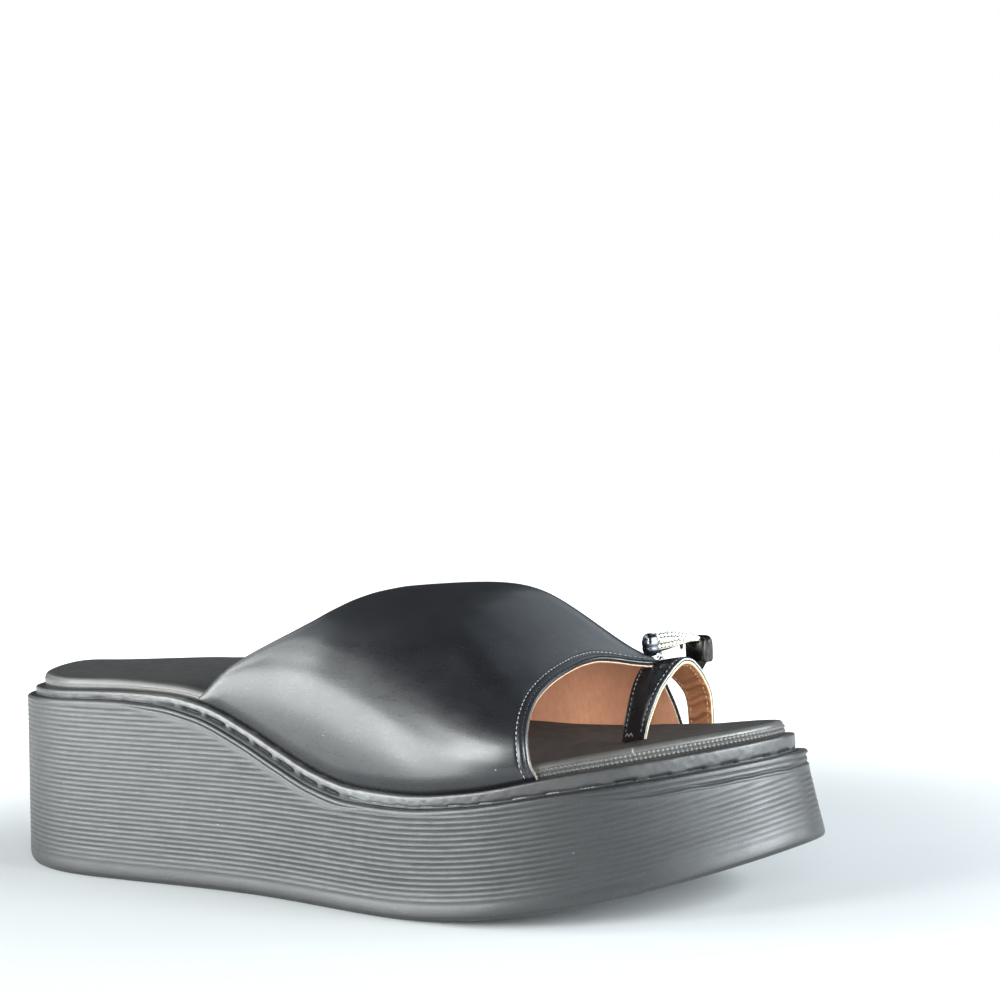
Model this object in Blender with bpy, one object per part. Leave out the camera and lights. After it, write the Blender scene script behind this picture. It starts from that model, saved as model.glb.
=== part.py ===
"""Platform slide sandal with a toe loop, right shoe.

Frame: metres, +X toe, +Y medial (big-toe side), +Z up, floor at z = 0,
origin under the middle of the sole's outline. Lengths below are millimetres,
measured from a datum just behind the heel (x) and from the heel's centre line (y),
until the last step moves them to the origin and scales them to metres.
"""

import bmesh
import bpy
import numpy as np

# ---------------------------------------------------------------- dimensions
MM = 0.001
LENGTH = 263.4            # sole, heel back to toe tip
HEEL_X = 1.0              # back of the heel, from the datum of the stations
TIP_Y = 7.0               # the toe tip lies medial of the heel's centre line
GAP = 0.3                 # clearance between neighbouring pieces

TOE_SPRING = 17.0         # lift of the toe tip over the floor
SPRING_START = 160.0      # the sole is flat on the floor up to here
WALL_TAPER_HEEL = 1.6     # how far the side wall leans in, bottom to top
WALL_TAPER_FORE = 2.5
WALL_TAPER_TOE = 4.3
TOE_TILT = 0.025          # the toe's top is lower on the medial side
SOLE_EDGE_ROUND = 1.6     # rounding of the tread's edge
SOLE_LIP = 0.9            # rounding of the sole's top edge

MIDSOLE_STEP = 2.7        # midsole set back from the sole's top edge
FOOTBED_STEP = 2.9        # footbed set back from the midsole
FOOTBED_ROLL = 2.1        # its rolled edge, widest point to ridge
CUP_HEEL = 1.5            # depth of the footbed's cup below its ridge
CUP_FORE = 1.2

UPPER_WALL = 1.9          # leather and lining
UPPER_SET = 0.5           # upper's outer face, in from the midsole's edge

LOOP_WALL = 2.2           # toe loop strap thickness
LOOP_NEAR_Y = 8.9         # leg between the first two toes

KNOB_AT = (211.2, 17.4, 66.6)     # rounded end of the ornament, over the strap's rear edge
KNOB_SIZE = (2.1, 2.5, 3.2)       # half sizes: along the bar, across it, up
BAR_FROM, BAR_TO = (211.6, 18.1), (219.0, 32.0)   # bar from the knob to the block
POST_SHARE = 0.13                 # the bar's post on the strap, share of the bar
POST_RADIUS = 0.6
BLOCK_Y = (29.6, 35.0)            # cushion block at the far shoulder of the loop
BLOCK_X = (214.6, 221.2)
BLOCK_TOP = 67.4
BLOCK_SKIRT = 60.2                # its front hangs over the strap's front edge to here

AROUND = 112              # points round the outline

# Sole outline at the tread: station, lateral edge, medial edge
OUTLINE = [
    # x      lateral  medial
    (4.6,    -15.6,   15.0),
    (14.5,   -25.6,   25.8),
    (32.0,   -33.8,   33.2),
    (56.0,   -36.4,   34.9),
    (86.0,   -37.0,   34.6),
    (112.0,  -38.8,   35.2),
    (138.0,  -43.6,   38.4),
    (162.0,  -48.3,   43.2),
    (182.0,  -50.1,   46.2),
    (202.0,  -48.5,   46.9),
    (222.0,  -41.9,   44.5),
    (240.0,  -31.0,   38.6),
    (253.6,  -17.5,   29.9),
    (259.6,  -9.0,    23.2),
]

# Heights along the shoe: station, sole top, midsole thickness,
# footbed ridge above the midsole
PROFILE = [
    # x      sole    mid    bed
    (0.0,    50.7,   2.7,   3.2),
    (30.0,   51.6,   2.7,   2.5),
    (55.0,   52.3,   2.7,   2.5),
    (75.0,   51.5,   2.7,   2.6),
    (90.0,   48.9,   2.7,   3.3),
    (105.0,  43.5,   2.8,   4.0),
    (120.0,  37.3,   2.8,   4.3),
    (135.0,  32.1,   2.9,   4.3),
    (150.0,  29.5,   2.9,   4.3),
    (170.0,  29.0,   2.9,   4.3),
    (190.0,  30.2,   3.1,   4.3),
    (215.0,  33.6,   3.6,   4.4),
    (240.0,  37.2,   3.9,   4.5),
    (265.0,  41.4,   4.0,   4.1),
]

# Crest of the upper: station, its y, its height, and how full the lateral and
# medial sides are (superellipse exponents)
CREST = [
    # x      y      z     full_lat  full_med
    (86.0,   1.0,   77.0,  2.9,     2.6),
    (110.0,  3.0,   80.6,  2.75,    2.6),
    (132.0,  5.0,   82.8,  2.5,     2.6),
    (146.0,  7.0,   83.8,  2.45,    2.5),
    (160.0,  9.0,   84.2,  2.4,     2.4),
    (168.0,  10.0,  83.9,  2.35,    2.35),
    (175.0,  11.0,  82.6,  2.3,     2.3),
    (181.0,  12.0,  79.8,  2.25,    2.2),
    (187.0,  13.0,  76.0,  2.25,    2.15),
    (194.0,  14.5,  70.9,  2.25,    2.15),
    (200.0,  15.5,  66.9,  2.25,    2.15),
    (206.0,  16.5,  63.8,  2.25,    2.15),
    (214.0,  18.0,  61.5,  2.25,    2.15),
]

# Cut edges of the upper, from the lateral feather edge (0) over the crest
# (0.5) to the medial feather edge (1): station of the collar and of the front
EDGES = [
    # across  collar  front
    (0.00,    88.4,   210.0),
    (0.06,    92.4,   207.6),
    (0.12,    98.0,   206.4),
    (0.20,    109.0,  205.2),
    (0.28,    121.0,  204.2),
    (0.36,    128.5,  203.4),
    (0.42,    131.0,  204.0),
    (0.46,    132.0,  207.5),
    (0.50,    132.0,  211.9),
    (0.55,    131.6,  211.9),
    (0.60,    130.5,  208.5),
    (0.68,    126.0,  205.5),
    (0.78,    116.0,  205.0),
    (0.88,    105.0,  206.2),
    (1.00,    97.0,   208.0),
]

# Lift of the footbed's medial ridge, arch to ball: station, lift
ARCH = [
    # x      lift
    (55.0,   0.0),
    (85.0,   1.4),
    (112.0,  3.4),
    (138.0,  4.5),
    (160.0,  4.6),
    (178.0,  3.8),
    (190.0,  3.0),
    (202.0,  2.2),
    (213.0,  1.0),
    (224.0,  0.2),
    (234.0,  0.0),
]

# Toe loop strap, middle line of its arch between the two feet
LOOP_ARCH = [
    # y      z
    (9.4,    45.0),
    (10.7,   48.8),
    (13.4,   54.5),
    (16.0,   57.5),
    (18.7,   59.7),
    (21.9,   60.9),
    (24.6,   60.5),
    (27.8,   58.8),
    (33.0,   54.9),
    (36.8,   50.4),
    (38.0,   46.5),
]

# Toe loop strap along its arch: share of the run, rear edge, front edge,
# skew and climb (sideways and upward step for each millimetre forward, so the
# legs follow the outline and the slope of the toe)
LOOP = [
    # run    rear    front   skew   climb
    (0.00,   206.5,  213.4,  0.00,  0.16),
    (0.22,   207.1,  216.2,  0.00,  0.14),
    (0.34,   206.9,  218.2, -0.01,  0.15),
    (0.42,   206.9,  219.3, -0.02,  0.17),
    (0.50,   208.4,  219.8, -0.03,  0.17),
    (0.60,   210.2,  219.6, -0.06,  0.17),
    (0.75,   210.5,  218.9, -0.10,  0.14),
    (1.00,   209.8,  217.8, -0.14,  0.16),
]

# Bar of the ornament, knob to block: share, underside, top, half depth
BAR = [
    # share  under   top    half
    (0.00,   64.7,   69.5,  1.9),
    (0.25,   65.0,   69.6,  1.9),
    (0.50,   65.8,   69.2,  1.8),
    (0.75,   66.3,   68.5,  1.7),
    (1.00,   66.2,   67.4,  1.5),
]

# Block of the ornament along y: share, drop of its top, narrowing of its sides
BLOCK = [
    # share  drop   narrow
    (0.00,   1.6,   1.0),
    (0.08,   0.5,   0.3),
    (0.25,   0.0,   0.0),
    (0.50,   0.5,   0.1),
    (0.78,  -0.2,   0.0),
    (0.92,   0.6,   0.3),
    (1.00,   2.2,   1.1),
]


# ------------------------------------------------------------------- curves
def column(table, index):
    return np.array([row[index] for row in table], float)


def through(xs, ys):
    """Smooth curve through a table's points that never overshoots them."""
    xs, ys = np.asarray(xs, float), np.asarray(ys, float)
    step = np.diff(xs)
    rise = np.diff(ys) / step
    slope = np.zeros(len(xs))
    slope[0], slope[-1] = rise[0], rise[-1]
    for k in range(1, len(xs) - 1):
        if rise[k - 1] * rise[k] > 0:
            a, b = 2 * step[k] + step[k - 1], step[k] + 2 * step[k - 1]
            slope[k] = (a + b) / (a / rise[k - 1] + b / rise[k])

    def at(x):
        x = np.clip(np.asarray(x, float), xs[0], xs[-1])
        k = np.clip(np.searchsorted(xs, x, side="right") - 1, 0, len(xs) - 2)
        w = step[k]
        t = (x - xs[k]) / w
        return (ys[k] * (1 + 2 * t) * (1 - t) ** 2 + slope[k] * w * t * (1 - t) ** 2
                + ys[k + 1] * t * t * (3 - 2 * t) + slope[k + 1] * w * t * t * (t - 1))

    return at


def periodic(ts, ys, period):
    """Closed cubic spline: returns value(t)."""
    n = len(ts)
    h = np.diff(np.append(ts, ts[0] + period))
    matrix, right = np.zeros((n, n)), np.zeros(n)
    for i in range(n):
        p, q = (i - 1) % n, (i + 1) % n
        matrix[i, p] += h[p]
        matrix[i, i] += 2 * (h[p] + h[i])
        matrix[i, q] += h[i]
        right[i] = 6 * ((ys[q] - ys[i]) / h[i] - (ys[i] - ys[p]) / h[p])
    bend = np.linalg.solve(matrix, right)

    def at(t):
        t = np.mod(np.asarray(t, float) - ts[0], period) + ts[0]
        i = np.clip(np.searchsorted(ts, t, side="right") - 1, 0, n - 1)
        j = (i + 1) % n
        a = (ts[i] + h[i] - t) / h[i]
        b = 1 - a
        return (a * ys[i] + b * ys[j]
                + ((a ** 3 - a) * bend[i] + (b ** 3 - b) * bend[j]) * h[i] ** 2 / 6)

    return at


def make_outline():
    """y of the outline for a turn angle: 0 heel back, pi toe tip, lateral first."""
    turn = np.arccos(1 - 2 * (column(OUTLINE, 0) - HEEL_X) / LENGTH)
    ts = np.concatenate([[0.0], turn, [np.pi], 2 * np.pi - turn[::-1]])
    ys = np.concatenate([[0.0], column(OUTLINE, 1), [TIP_Y], column(OUTLINE, 2)[::-1]])
    return periodic(ts, ys, 2 * np.pi)


outline_y = make_outline()
sole_line = through(column(PROFILE, 0), column(PROFILE, 1))
mid_thick = through(column(PROFILE, 0), column(PROFILE, 2))
bed_rise = through(column(PROFILE, 0), column(PROFILE, 3))
crest_y = through(column(CREST, 0), column(CREST, 1))
crest_z = through(column(CREST, 0), column(CREST, 2))
full_lat = through(column(CREST, 0), column(CREST, 3))
full_med = through(column(CREST, 0), column(CREST, 4))
collar_x = through(column(EDGES, 0), column(EDGES, 1))
front_x = through(column(EDGES, 0), column(EDGES, 2))
loop_x = through(column(LOOP, 0), (column(LOOP, 1) + column(LOOP, 2)) / 2)
loop_half = through(column(LOOP, 0), (column(LOOP, 2) - column(LOOP, 1)) / 2)
arch_lift = through(column(ARCH, 0), column(ARCH, 1))
loop_skew = through(column(LOOP, 0), column(LOOP, 3))
loop_climb = through(column(LOOP, 0), column(LOOP, 4))
bar_under = through(column(BAR, 0), column(BAR, 1))
bar_top = through(column(BAR, 0), column(BAR, 2))
bar_half = through(column(BAR, 0), column(BAR, 3))
block_drop = through(column(BLOCK, 0), column(BLOCK, 1))
block_narrow = through(column(BLOCK, 0), column(BLOCK, 2))


def smooth(a, b, x):
    t = np.clip((np.asarray(x, float) - a) / (b - a), 0, 1)
    return t * t * (3 - 2 * t)


def sole_bottom(x):
    t = np.clip((np.asarray(x, float) - SPRING_START) / (HEEL_X + LENGTH - SPRING_START), 0, 1)
    return TOE_SPRING * t * t


def wall_taper(x):
    return (WALL_TAPER_HEEL + (WALL_TAPER_FORE - WALL_TAPER_HEEL) * smooth(0, 60, x)
            + (WALL_TAPER_TOE - WALL_TAPER_FORE) * smooth(225, 262, x))


def sole_top(x, y):
    return sole_line(x) - TOE_TILT * (np.asarray(y, float) - TIP_Y) * smooth(150, 235, x)


def mid_top(x, y):
    return sole_top(x, y) + GAP + mid_thick(x)


TURNS = np.linspace(0, 2 * np.pi, AROUND, endpoint=False)


def plan(inset, turns=TURNS):
    """Outline moved inwards by inset, as (n, 2). inset is a number or one value a point."""
    def raw(t):
        return np.column_stack([HEEL_X + LENGTH / 2 * (1 - np.cos(t)), outline_y(t)])
    here = raw(turns)
    along = raw(turns + 1e-3) - raw(turns - 1e-3)
    along /= np.linalg.norm(along, axis=1)[:, None]
    inward = np.column_stack([-along[:, 1], along[:, 0]])
    return here + inward * np.reshape(inset, (-1, 1)) if np.ndim(inset) else here + inward * inset


def edge_taper():
    return wall_taper(plan(0.0)[:, 0])


# ------------------------------------------------------------------- meshes
def add_object(name, points, faces, color, roughness, metallic=0.0, sharp=35.0):
    """New object from millimetre points in the shoe's frame, one closed body."""
    across = plan(0.0, np.linspace(0, 2 * np.pi, 720, endpoint=False))[:, 1]
    middle = np.array([HEEL_X + LENGTH / 2, (across.min() + across.max()) / 2, 0.0])
    mesh = bpy.data.meshes.new(name)
    mesh.from_pydata(((np.asarray(points) - middle) * MM).tolist(), [], faces)
    shell = bmesh.new()
    shell.from_mesh(mesh)
    bmesh.ops.triangulate(shell, faces=shell.faces)
    bmesh.ops.recalc_face_normals(shell, faces=shell.faces)
    if shell.calc_volume(signed=True) < 0:
        bmesh.ops.reverse_faces(shell, faces=shell.faces)
    shell.to_mesh(mesh)
    shell.free()
    mesh.shade_smooth()
    mesh.set_sharp_from_angle(angle=np.radians(sharp))
    material = bpy.data.materials.new(name)
    material.use_nodes = True
    shader = material.node_tree.nodes["Principled BSDF"]
    shader.inputs["Base Color"].default_value = (*color, 1.0)
    shader.inputs["Roughness"].default_value = roughness
    shader.inputs["Metallic"].default_value = metallic
    mesh.materials.append(material)
    obj = bpy.data.objects.new(name, mesh)
    bpy.context.scene.collection.objects.link(obj)
    return obj


def stack_rings(rings):
    """Side faces between closed rings of equal length."""
    n = len(rings[0])
    faces = []
    for k in range(len(rings) - 1):
        for i in range(n):
            j = (i + 1) % n
            faces.append((k * n + i, k * n + j, (k + 1) * n + j, (k + 1) * n + i))
    return faces


def ladder(n, base, flip=False):
    """Cap of a ring whose points pair up across the shoe: rungs at equal stations."""
    faces = [(base, base + 1, base + n - 1)]
    for i in range(1, n // 2 - 1):
        faces.append((base + i, base + i + 1, base + n - i - 1, base + n - i))
    faces.append((base + n // 2 - 1, base + n // 2, base + n // 2 + 1))
    return [f[::-1] for f in faces] if flip else faces


def build_sole():
    taper = edge_taper()
    rings = []
    # share of the taper, lift over the tread (or drop below the top), extra inset
    for part, lift, extra in ((0.0, 0.0, SOLE_EDGE_ROUND), (0.0, 0.35, 1.35),
                              (0.0, 1.2, 0.4), (0.0, SOLE_EDGE_ROUND, 0.0)):
        flat = plan(taper * part + extra)
        rings.append(np.column_stack([flat, sole_bottom(flat[:, 0]) + lift]))
    for part in (0.3, 0.55, 0.78, 1.0):
        flat = plan(taper * part)
        low = sole_bottom(flat[:, 0]) + SOLE_EDGE_ROUND
        high = sole_top(*flat.T) - SOLE_LIP
        rings.append(np.column_stack([flat, low + (high - low) * part]))
    flat = plan(taper + 0.3 * SOLE_LIP)
    rings.append(np.column_stack([flat, sole_top(*flat.T) - 0.3 * SOLE_LIP]))
    flat = plan(taper + SOLE_LIP)
    rings.append(np.column_stack([flat, sole_top(*flat.T)]))
    faces = stack_rings(rings) + ladder(AROUND, 0, True) + ladder(AROUND, (len(rings) - 1) * AROUND)
    return add_object("platform_sole", np.vstack(rings), faces, (0.045, 0.045, 0.048), 0.62)


def build_midsole():
    taper = edge_taper() + MIDSOLE_STEP
    rings = []
    # extra inset, share of the thickness
    for extra, part in ((0.8, 0.0), (0.15, 0.16), (0.0, 0.45), (0.1, 0.78), (0.55, 1.0)):
        flat = plan(taper + extra)
        base = sole_top(*flat.T) + GAP
        rings.append(np.column_stack([flat, base + mid_thick(flat[:, 0]) * part]))
    faces = stack_rings(rings) + ladder(AROUND, 0, True) + ladder(AROUND, (len(rings) - 1) * AROUND)
    return add_object("midsole", np.vstack(rings), faces, (0.040, 0.040, 0.042), 0.55)


def bed_ridge(x, y, medial):
    """Height of the footbed's ridge. medial is 0 on the lateral side and 1 on the other."""
    return mid_top(x, y) + GAP + bed_rise(x) + arch_lift(x) * medial


def cup_depth(x):
    return CUP_FORE + (CUP_HEEL - CUP_FORE) * (1 - smooth(60, 150, x))


def cup_form(share):
    """Dish across the footbed, 0 at its ridges (shares 0 and 1) and 1 in the middle."""
    return 1 - np.abs(2 * share - 1) ** 2.6


def bed_surface(x, y):
    """Height of the footbed's top at a point of the forefoot."""
    inset = MIDSOLE_STEP + FOOTBED_STEP + FOOTBED_ROLL
    low, high = outline_at(x, -1, inset), outline_at(x, 1, inset)
    share = (y - low) / (high - low)
    a, b = bed_ridge(x, low, 0.0), bed_ridge(x, high, 1.0)
    return a + (b - a) * share - cup_depth(x) * cup_form(share)


def build_footbed():
    taper = edge_taper() + MIDSOLE_STEP + FOOTBED_STEP
    medial = (np.sin(TURNS) < 0).astype(float) * np.abs(np.sin(TURNS)) ** 0.5
    rings = []
    # extra inset as a share of the roll, share of the rise
    for extra, part in ((0.35, 0.0), (0.06, 0.18), (0.0, 0.45), (0.2, 0.72), (0.55, 0.92), (1.0, 1.0)):
        flat = plan(taper + FOOTBED_ROLL * extra)
        base = mid_top(*flat.T) + GAP
        top = bed_ridge(*flat.T, medial)
        rings.append(np.column_stack([flat, base + (top - base) * part]))
    points = list(np.vstack(rings))
    faces = stack_rings(rings) + ladder(AROUND, 0, True)
    # The dished top: rungs across, each with a row of inner points
    start, n, across = (len(rings) - 1) * AROUND, AROUND, 8
    ring = rings[-1]
    rows = [[start] * (across + 1)]
    for i in range(1, n // 2):
        a, b = ring[i], ring[n - i]
        row = [start + i]
        depth = cup_depth(a[0]) * min(1.0, np.sin(TURNS[i]) * 1.5)
        for k in range(1, across):
            s = k / across
            p = a + (b - a) * s
            p[2] -= depth * cup_form(s)
            row.append(len(points))
            points.append(p)
        rows.append(row + [start + n - i])
    rows.append([start + n // 2] * (across + 1))
    for first, second in zip(rows[:-1], rows[1:]):
        for k in range(across):
            quad = [first[k], second[k], second[k + 1], first[k + 1]]
            face = [v for i, v in enumerate(quad) if v not in quad[:i]]
            faces.append(tuple(face))
    return add_object("footbed", np.array(points), faces, (0.050, 0.042, 0.038), 0.75)


def outline_at(x, side, inset):
    """y of the inset outline at a station. side is -1 lateral, 1 medial."""
    fine = np.linspace(0.02, np.pi - 0.02, 400)
    turns = fine if side < 0 else 2 * np.pi - fine
    flat = plan(wall_taper(plan(0.0, turns)[:, 0]) + inset, turns)
    return np.interp(x, flat[:, 0], flat[:, 1])


def upper_section(x, count=160):
    """Outer section at a station: (n, 2) of y and z, evenly spaced along the leather."""
    inset = MIDSOLE_STEP + UPPER_SET
    out = []
    for side, full in ((-1, full_lat(x)), (1, full_med(x))):
        y0 = outline_at(x, side, inset)
        foot = mid_top(x, y0) + GAP
        t = np.linspace(0, np.pi / 2, count)
        y = crest_y(x) + (y0 - crest_y(x)) * np.cos(t) ** (2 / full)
        z = foot + (crest_z(x) - foot) * np.sin(t) ** (2 / full)
        line = np.column_stack([y, z])
        far = np.concatenate([[0], np.cumsum(np.linalg.norm(np.diff(line, axis=0), axis=1))])
        even = np.linspace(0, far[-1], count)
        line = np.column_stack([np.interp(even, far, line[:, 0]), np.interp(even, far, line[:, 1])])
        out.append(line if side < 0 else line[::-1])
    return np.vstack([out[0], out[1][1:]])


def upper_point(stations, across):
    """Outer surface points for arrays of station and share across (0 lateral, 1 medial)."""
    grid = np.linspace(84.0, 216.0, 89)
    table = np.array([upper_section(x) for x in grid])
    n = table.shape[1]
    i = np.clip((np.asarray(stations) - grid[0]) / (grid[1] - grid[0]), 0, len(grid) - 1.001)
    j = np.clip(np.asarray(across) * (n - 1), 0, n - 1.001)
    i0, j0 = i.astype(int), j.astype(int)
    a, b = (i - i0)[..., None], (j - j0)[..., None]
    yz = ((1 - a) * (1 - b) * table[i0, j0] + a * (1 - b) * table[i0 + 1, j0]
          + (1 - a) * b * table[i0, j0 + 1] + a * b * table[i0 + 1, j0 + 1])
    return np.concatenate([np.asarray(stations)[..., None], yz], axis=-1)


def build_vamp():
    rows, cols = 44, 16
    share = np.linspace(0, 1, rows + 1)
    along = np.linspace(0, 1, cols + 1)
    across, run = np.meshgrid(share, along, indexing="ij")
    stations = collar_x(across) + (front_x(across) - collar_x(across)) * run
    outer = upper_point(stations, across)
    eps = 1e-3
    by_x = upper_point(stations + 0.5, across) - upper_point(stations - 0.5, across)
    by_u = upper_point(stations, np.clip(across + eps, 0, 1)) - upper_point(stations, np.clip(across - eps, 0, 1))
    normal = np.cross(by_x, by_u)
    normal /= np.linalg.norm(normal, axis=2)[..., None]
    # level at the feather edges, so both faces end on the midsole
    for edge in (0, -1):
        normal[edge, :, 2] = 0
        normal[edge] /= np.linalg.norm(normal[edge], axis=1)[:, None]
    inside = np.sign(np.sum(normal * (np.array([150.0, 0, 45.0]) - outer), axis=2))
    normal *= inside[..., None]
    inner = outer + normal * UPPER_WALL
    n = cols + 1
    count = outer.shape[0] * n
    faces = []
    for i in range(rows):
        for k in range(cols):
            a, b, c, d = i * n + k, i * n + k + 1, (i + 1) * n + k + 1, (i + 1) * n + k
            faces += [(a, b, c, d), (d + count, c + count, b + count, a + count)]
    rim = ([(0, k) for k in range(cols)] + [(i, cols) for i in range(rows)]
           + [(rows, k) for k in range(cols, 0, -1)] + [(i, 0) for i in range(rows, 0, -1)])
    loop = [i * n + k for i, k in rim]
    for a, b in zip(loop, loop[1:] + loop[:1]):
        faces.append((b, a, a + count, b + count))
    points = np.vstack([outer.reshape(-1, 3), inner.reshape(-1, 3)])
    return add_object("upper", points, faces, (0.012, 0.012, 0.014), 0.25)


def loop_path(share):
    """Middle line of the toe loop's strap and its outward normal, in y and z."""
    inset = MIDSOLE_STEP + UPPER_SET
    far_y = outline_at(213.8, 1, inset) - LOOP_WALL / 2 + 0.15
    far_z = mid_top(213.8, far_y) + GAP + 0.2
    near_z = bed_surface(210.1, LOOP_NEAR_Y + LOOP_WALL / 2) + GAP + 0.3
    knots = np.array([(LOOP_NEAR_Y, near_z)] + LOOP_ARCH + [(far_y, far_z)])
    chord = np.concatenate([[0], np.cumsum(np.linalg.norm(np.diff(knots, axis=0), axis=1))])
    even = np.linspace(0, chord[-1], 240)
    line = np.column_stack([through(chord, knots[:, 0])(even), through(chord, knots[:, 1])(even)])
    far = np.concatenate([[0], np.cumsum(np.linalg.norm(np.diff(line, axis=0), axis=1))])
    far /= far[-1]
    def at(s):
        return np.column_stack([np.interp(s, far, line[:, 0]), np.interp(s, far, line[:, 1])])
    share = np.atleast_1d(share)
    here = at(share)
    step = at(np.clip(share + 0.01, 0, 1)) - at(np.clip(share - 0.01, 0, 1))
    step /= np.linalg.norm(step, axis=1)[:, None]
    return here, np.column_stack([-step[:, 1], step[:, 0]])


def sweep(shares, section):
    """Tube along the toe loop. section(share) gives x offsets and heights over the middle line."""
    here, out = loop_path(shares)
    middle = loop_x(shares)
    rings = []
    for k, s in enumerate(shares):
        side, high = section(s)
        rings.append(np.column_stack([middle[k] + side,
                                      here[k, 0] + out[k, 0] * high + loop_skew(s) * side,
                                      here[k, 1] + out[k, 1] * high + loop_climb(s) * side]))
    return tube(rings)


def build_loop():
    def section(s):
        w, t = loop_half(s), LOOP_WALL / 2
        side = np.array([-w, -w + 0.4, w - 0.4, w, w, w - 0.4, -w + 0.4, -w])
        high = np.array([t - 0.4, t, t, t - 0.4, -t + 0.4, -t, -t, -t + 0.4])
        return side, high
    points, faces = sweep(np.linspace(0, 1, 41), section)
    return add_object("toe_loop", points, faces, (0.012, 0.012, 0.014), 0.25)


def strap_top(y):
    """Height of the toe loop's outer face at y, at its front edge, where it is highest."""
    run = np.linspace(0.05, 0.95, 181)
    here, out = loop_path(run)
    outer = here + out * LOOP_WALL / 2
    return np.interp(y, outer[:, 0], outer[:, 1] + loop_climb(run) * loop_half(run))


def tube(rings):
    """Closed body through rings of equal length, with flat ends."""
    n = len(rings[0])
    faces = stack_rings(rings)
    faces.append(tuple(range(n))[::-1])
    faces.append(tuple((len(rings) - 1) * n + i for i in range(n)))
    return np.vstack(rings), faces


def bar_axis():
    start, end = np.array(BAR_FROM), np.array(BAR_TO)
    along = (end - start) / np.linalg.norm(end - start)
    return start, end, along, np.array([along[1], -along[0]])


def build_block():
    rings = []
    for share in np.linspace(0, 1, 13):
        y = BLOCK_Y[0] + (BLOCK_Y[1] - BLOCK_Y[0]) * share
        top, narrow = BLOCK_TOP - block_drop(share), block_narrow(share)
        rear, front = BLOCK_X[0] + narrow, BLOCK_X[1] - 0.5 * narrow
        seat = strap_top(y) + 0.6
        clear = BLOCK_X[1] - 1.3
        skirt = BLOCK_SKIRT + narrow
        ring = [(rear, seat), (rear, top - 1.6), (rear + 0.5, top - 0.5), (rear + 1.6, top),
                (front - 1.6, top), (front - 0.5, top - 0.5), (front, top - 1.6),
                (front, skirt + 0.7), (front - 0.3, skirt), (clear, skirt), (clear, max(seat, skirt + 0.4))]
        rings.append(np.array([(x, y, z) for x, z in ring]))
    return add_object("toe_ornament", *tube(rings), (0.62, 0.63, 0.65), 0.12, 1.0)


def build_bar():
    start, end, along, across = bar_axis()
    rings = []
    turn = np.linspace(0, 2 * np.pi, 14, endpoint=False)
    for share in np.linspace(0, 1, 11):
        low, high, half = bar_under(share), bar_top(share), bar_half(share)
        flat = start + (end - start) * share + np.outer(np.cos(turn) * half, across)
        rings.append(np.column_stack([flat, (low + high) / 2 + np.sin(turn) * (high - low) / 2]))
    return add_object("ornament_bar", *tube(rings), (0.62, 0.63, 0.65), 0.12, 1.0)


def build_knob():
    start, end, along, across = bar_axis()
    turn = np.linspace(0, 2 * np.pi, 18, endpoint=False)
    rings = []
    for tilt in np.linspace(-np.pi / 2, np.pi / 2, 13):
        # flattened sides: a superellipsoid between a ball and a cushion
        wide = max(np.cos(tilt), 0.05) ** 0.8
        high = np.sign(np.sin(tilt)) * abs(np.sin(tilt)) ** 0.9
        flat = (np.array(KNOB_AT[:2]) + np.outer(np.cos(turn) * KNOB_SIZE[0] * wide, along)
                + np.outer(np.sin(turn) * KNOB_SIZE[1] * wide, across))
        rings.append(np.column_stack([flat, np.full(len(turn), KNOB_AT[2] + KNOB_SIZE[2] * high)]))
    return add_object("ornament_knob", *tube(rings), (0.62, 0.63, 0.65), 0.12, 1.0)


def build_post():
    start, end, along, across = bar_axis()
    centre = start + (end - start) * POST_SHARE
    low, high = strap_top(centre[1]) + GAP, (bar_under(POST_SHARE) + bar_top(POST_SHARE)) / 2
    turn = np.linspace(0, 2 * np.pi, 12, endpoint=False)
    rings = []
    for z, wide in ((low, 1.5), (low + 0.7, 1.2), (low + 1.2, 1.0), (high, 1.0)):
        flat = centre + POST_RADIUS * wide * np.column_stack([np.cos(turn), np.sin(turn)])
        rings.append(np.column_stack([flat, np.full(len(turn), z)]))
    return add_object("ornament_post", *tube(rings), (0.62, 0.63, 0.65), 0.12, 1.0)


def join_to(base, helpers):
    """Unites the helpers with the base object and leaves them out of the part."""
    for helper in helpers:
        join = base.modifiers.new(helper.name, "BOOLEAN")
        join.operation = "UNION"
        join.solver = "EXACT"
        join.object = helper
        helper.hide_render = True
        helper.display_type = "WIRE"
    return base


def build_ornament():
    """Block, bar, post and knob joined into one solid, with the gap open under the bar."""
    return join_to(build_block(), [build_bar(), build_post(), build_knob()])


def build_upper():
    """Vamp and toe loop joined into one solid."""
    return join_to(build_vamp(), [build_loop()])


def main():
    for obj in list(bpy.data.objects):
        bpy.data.objects.remove(obj, do_unlink=True)
    build_sole()
    build_midsole()
    build_footbed()
    build_upper()
    build_ornament()


main()
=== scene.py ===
"""Looks of the platform slide sandal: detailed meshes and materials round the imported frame.

Lengths are millimetres in the shoe's stations (x from just behind the heel, y from
the heel's centre line, medial positive, z from the floor) until make() moves them to
the frame's origin and scales them to metres.
"""

import bmesh
import bpy
import numpy as np
from mathutils import Matrix, Vector


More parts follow.
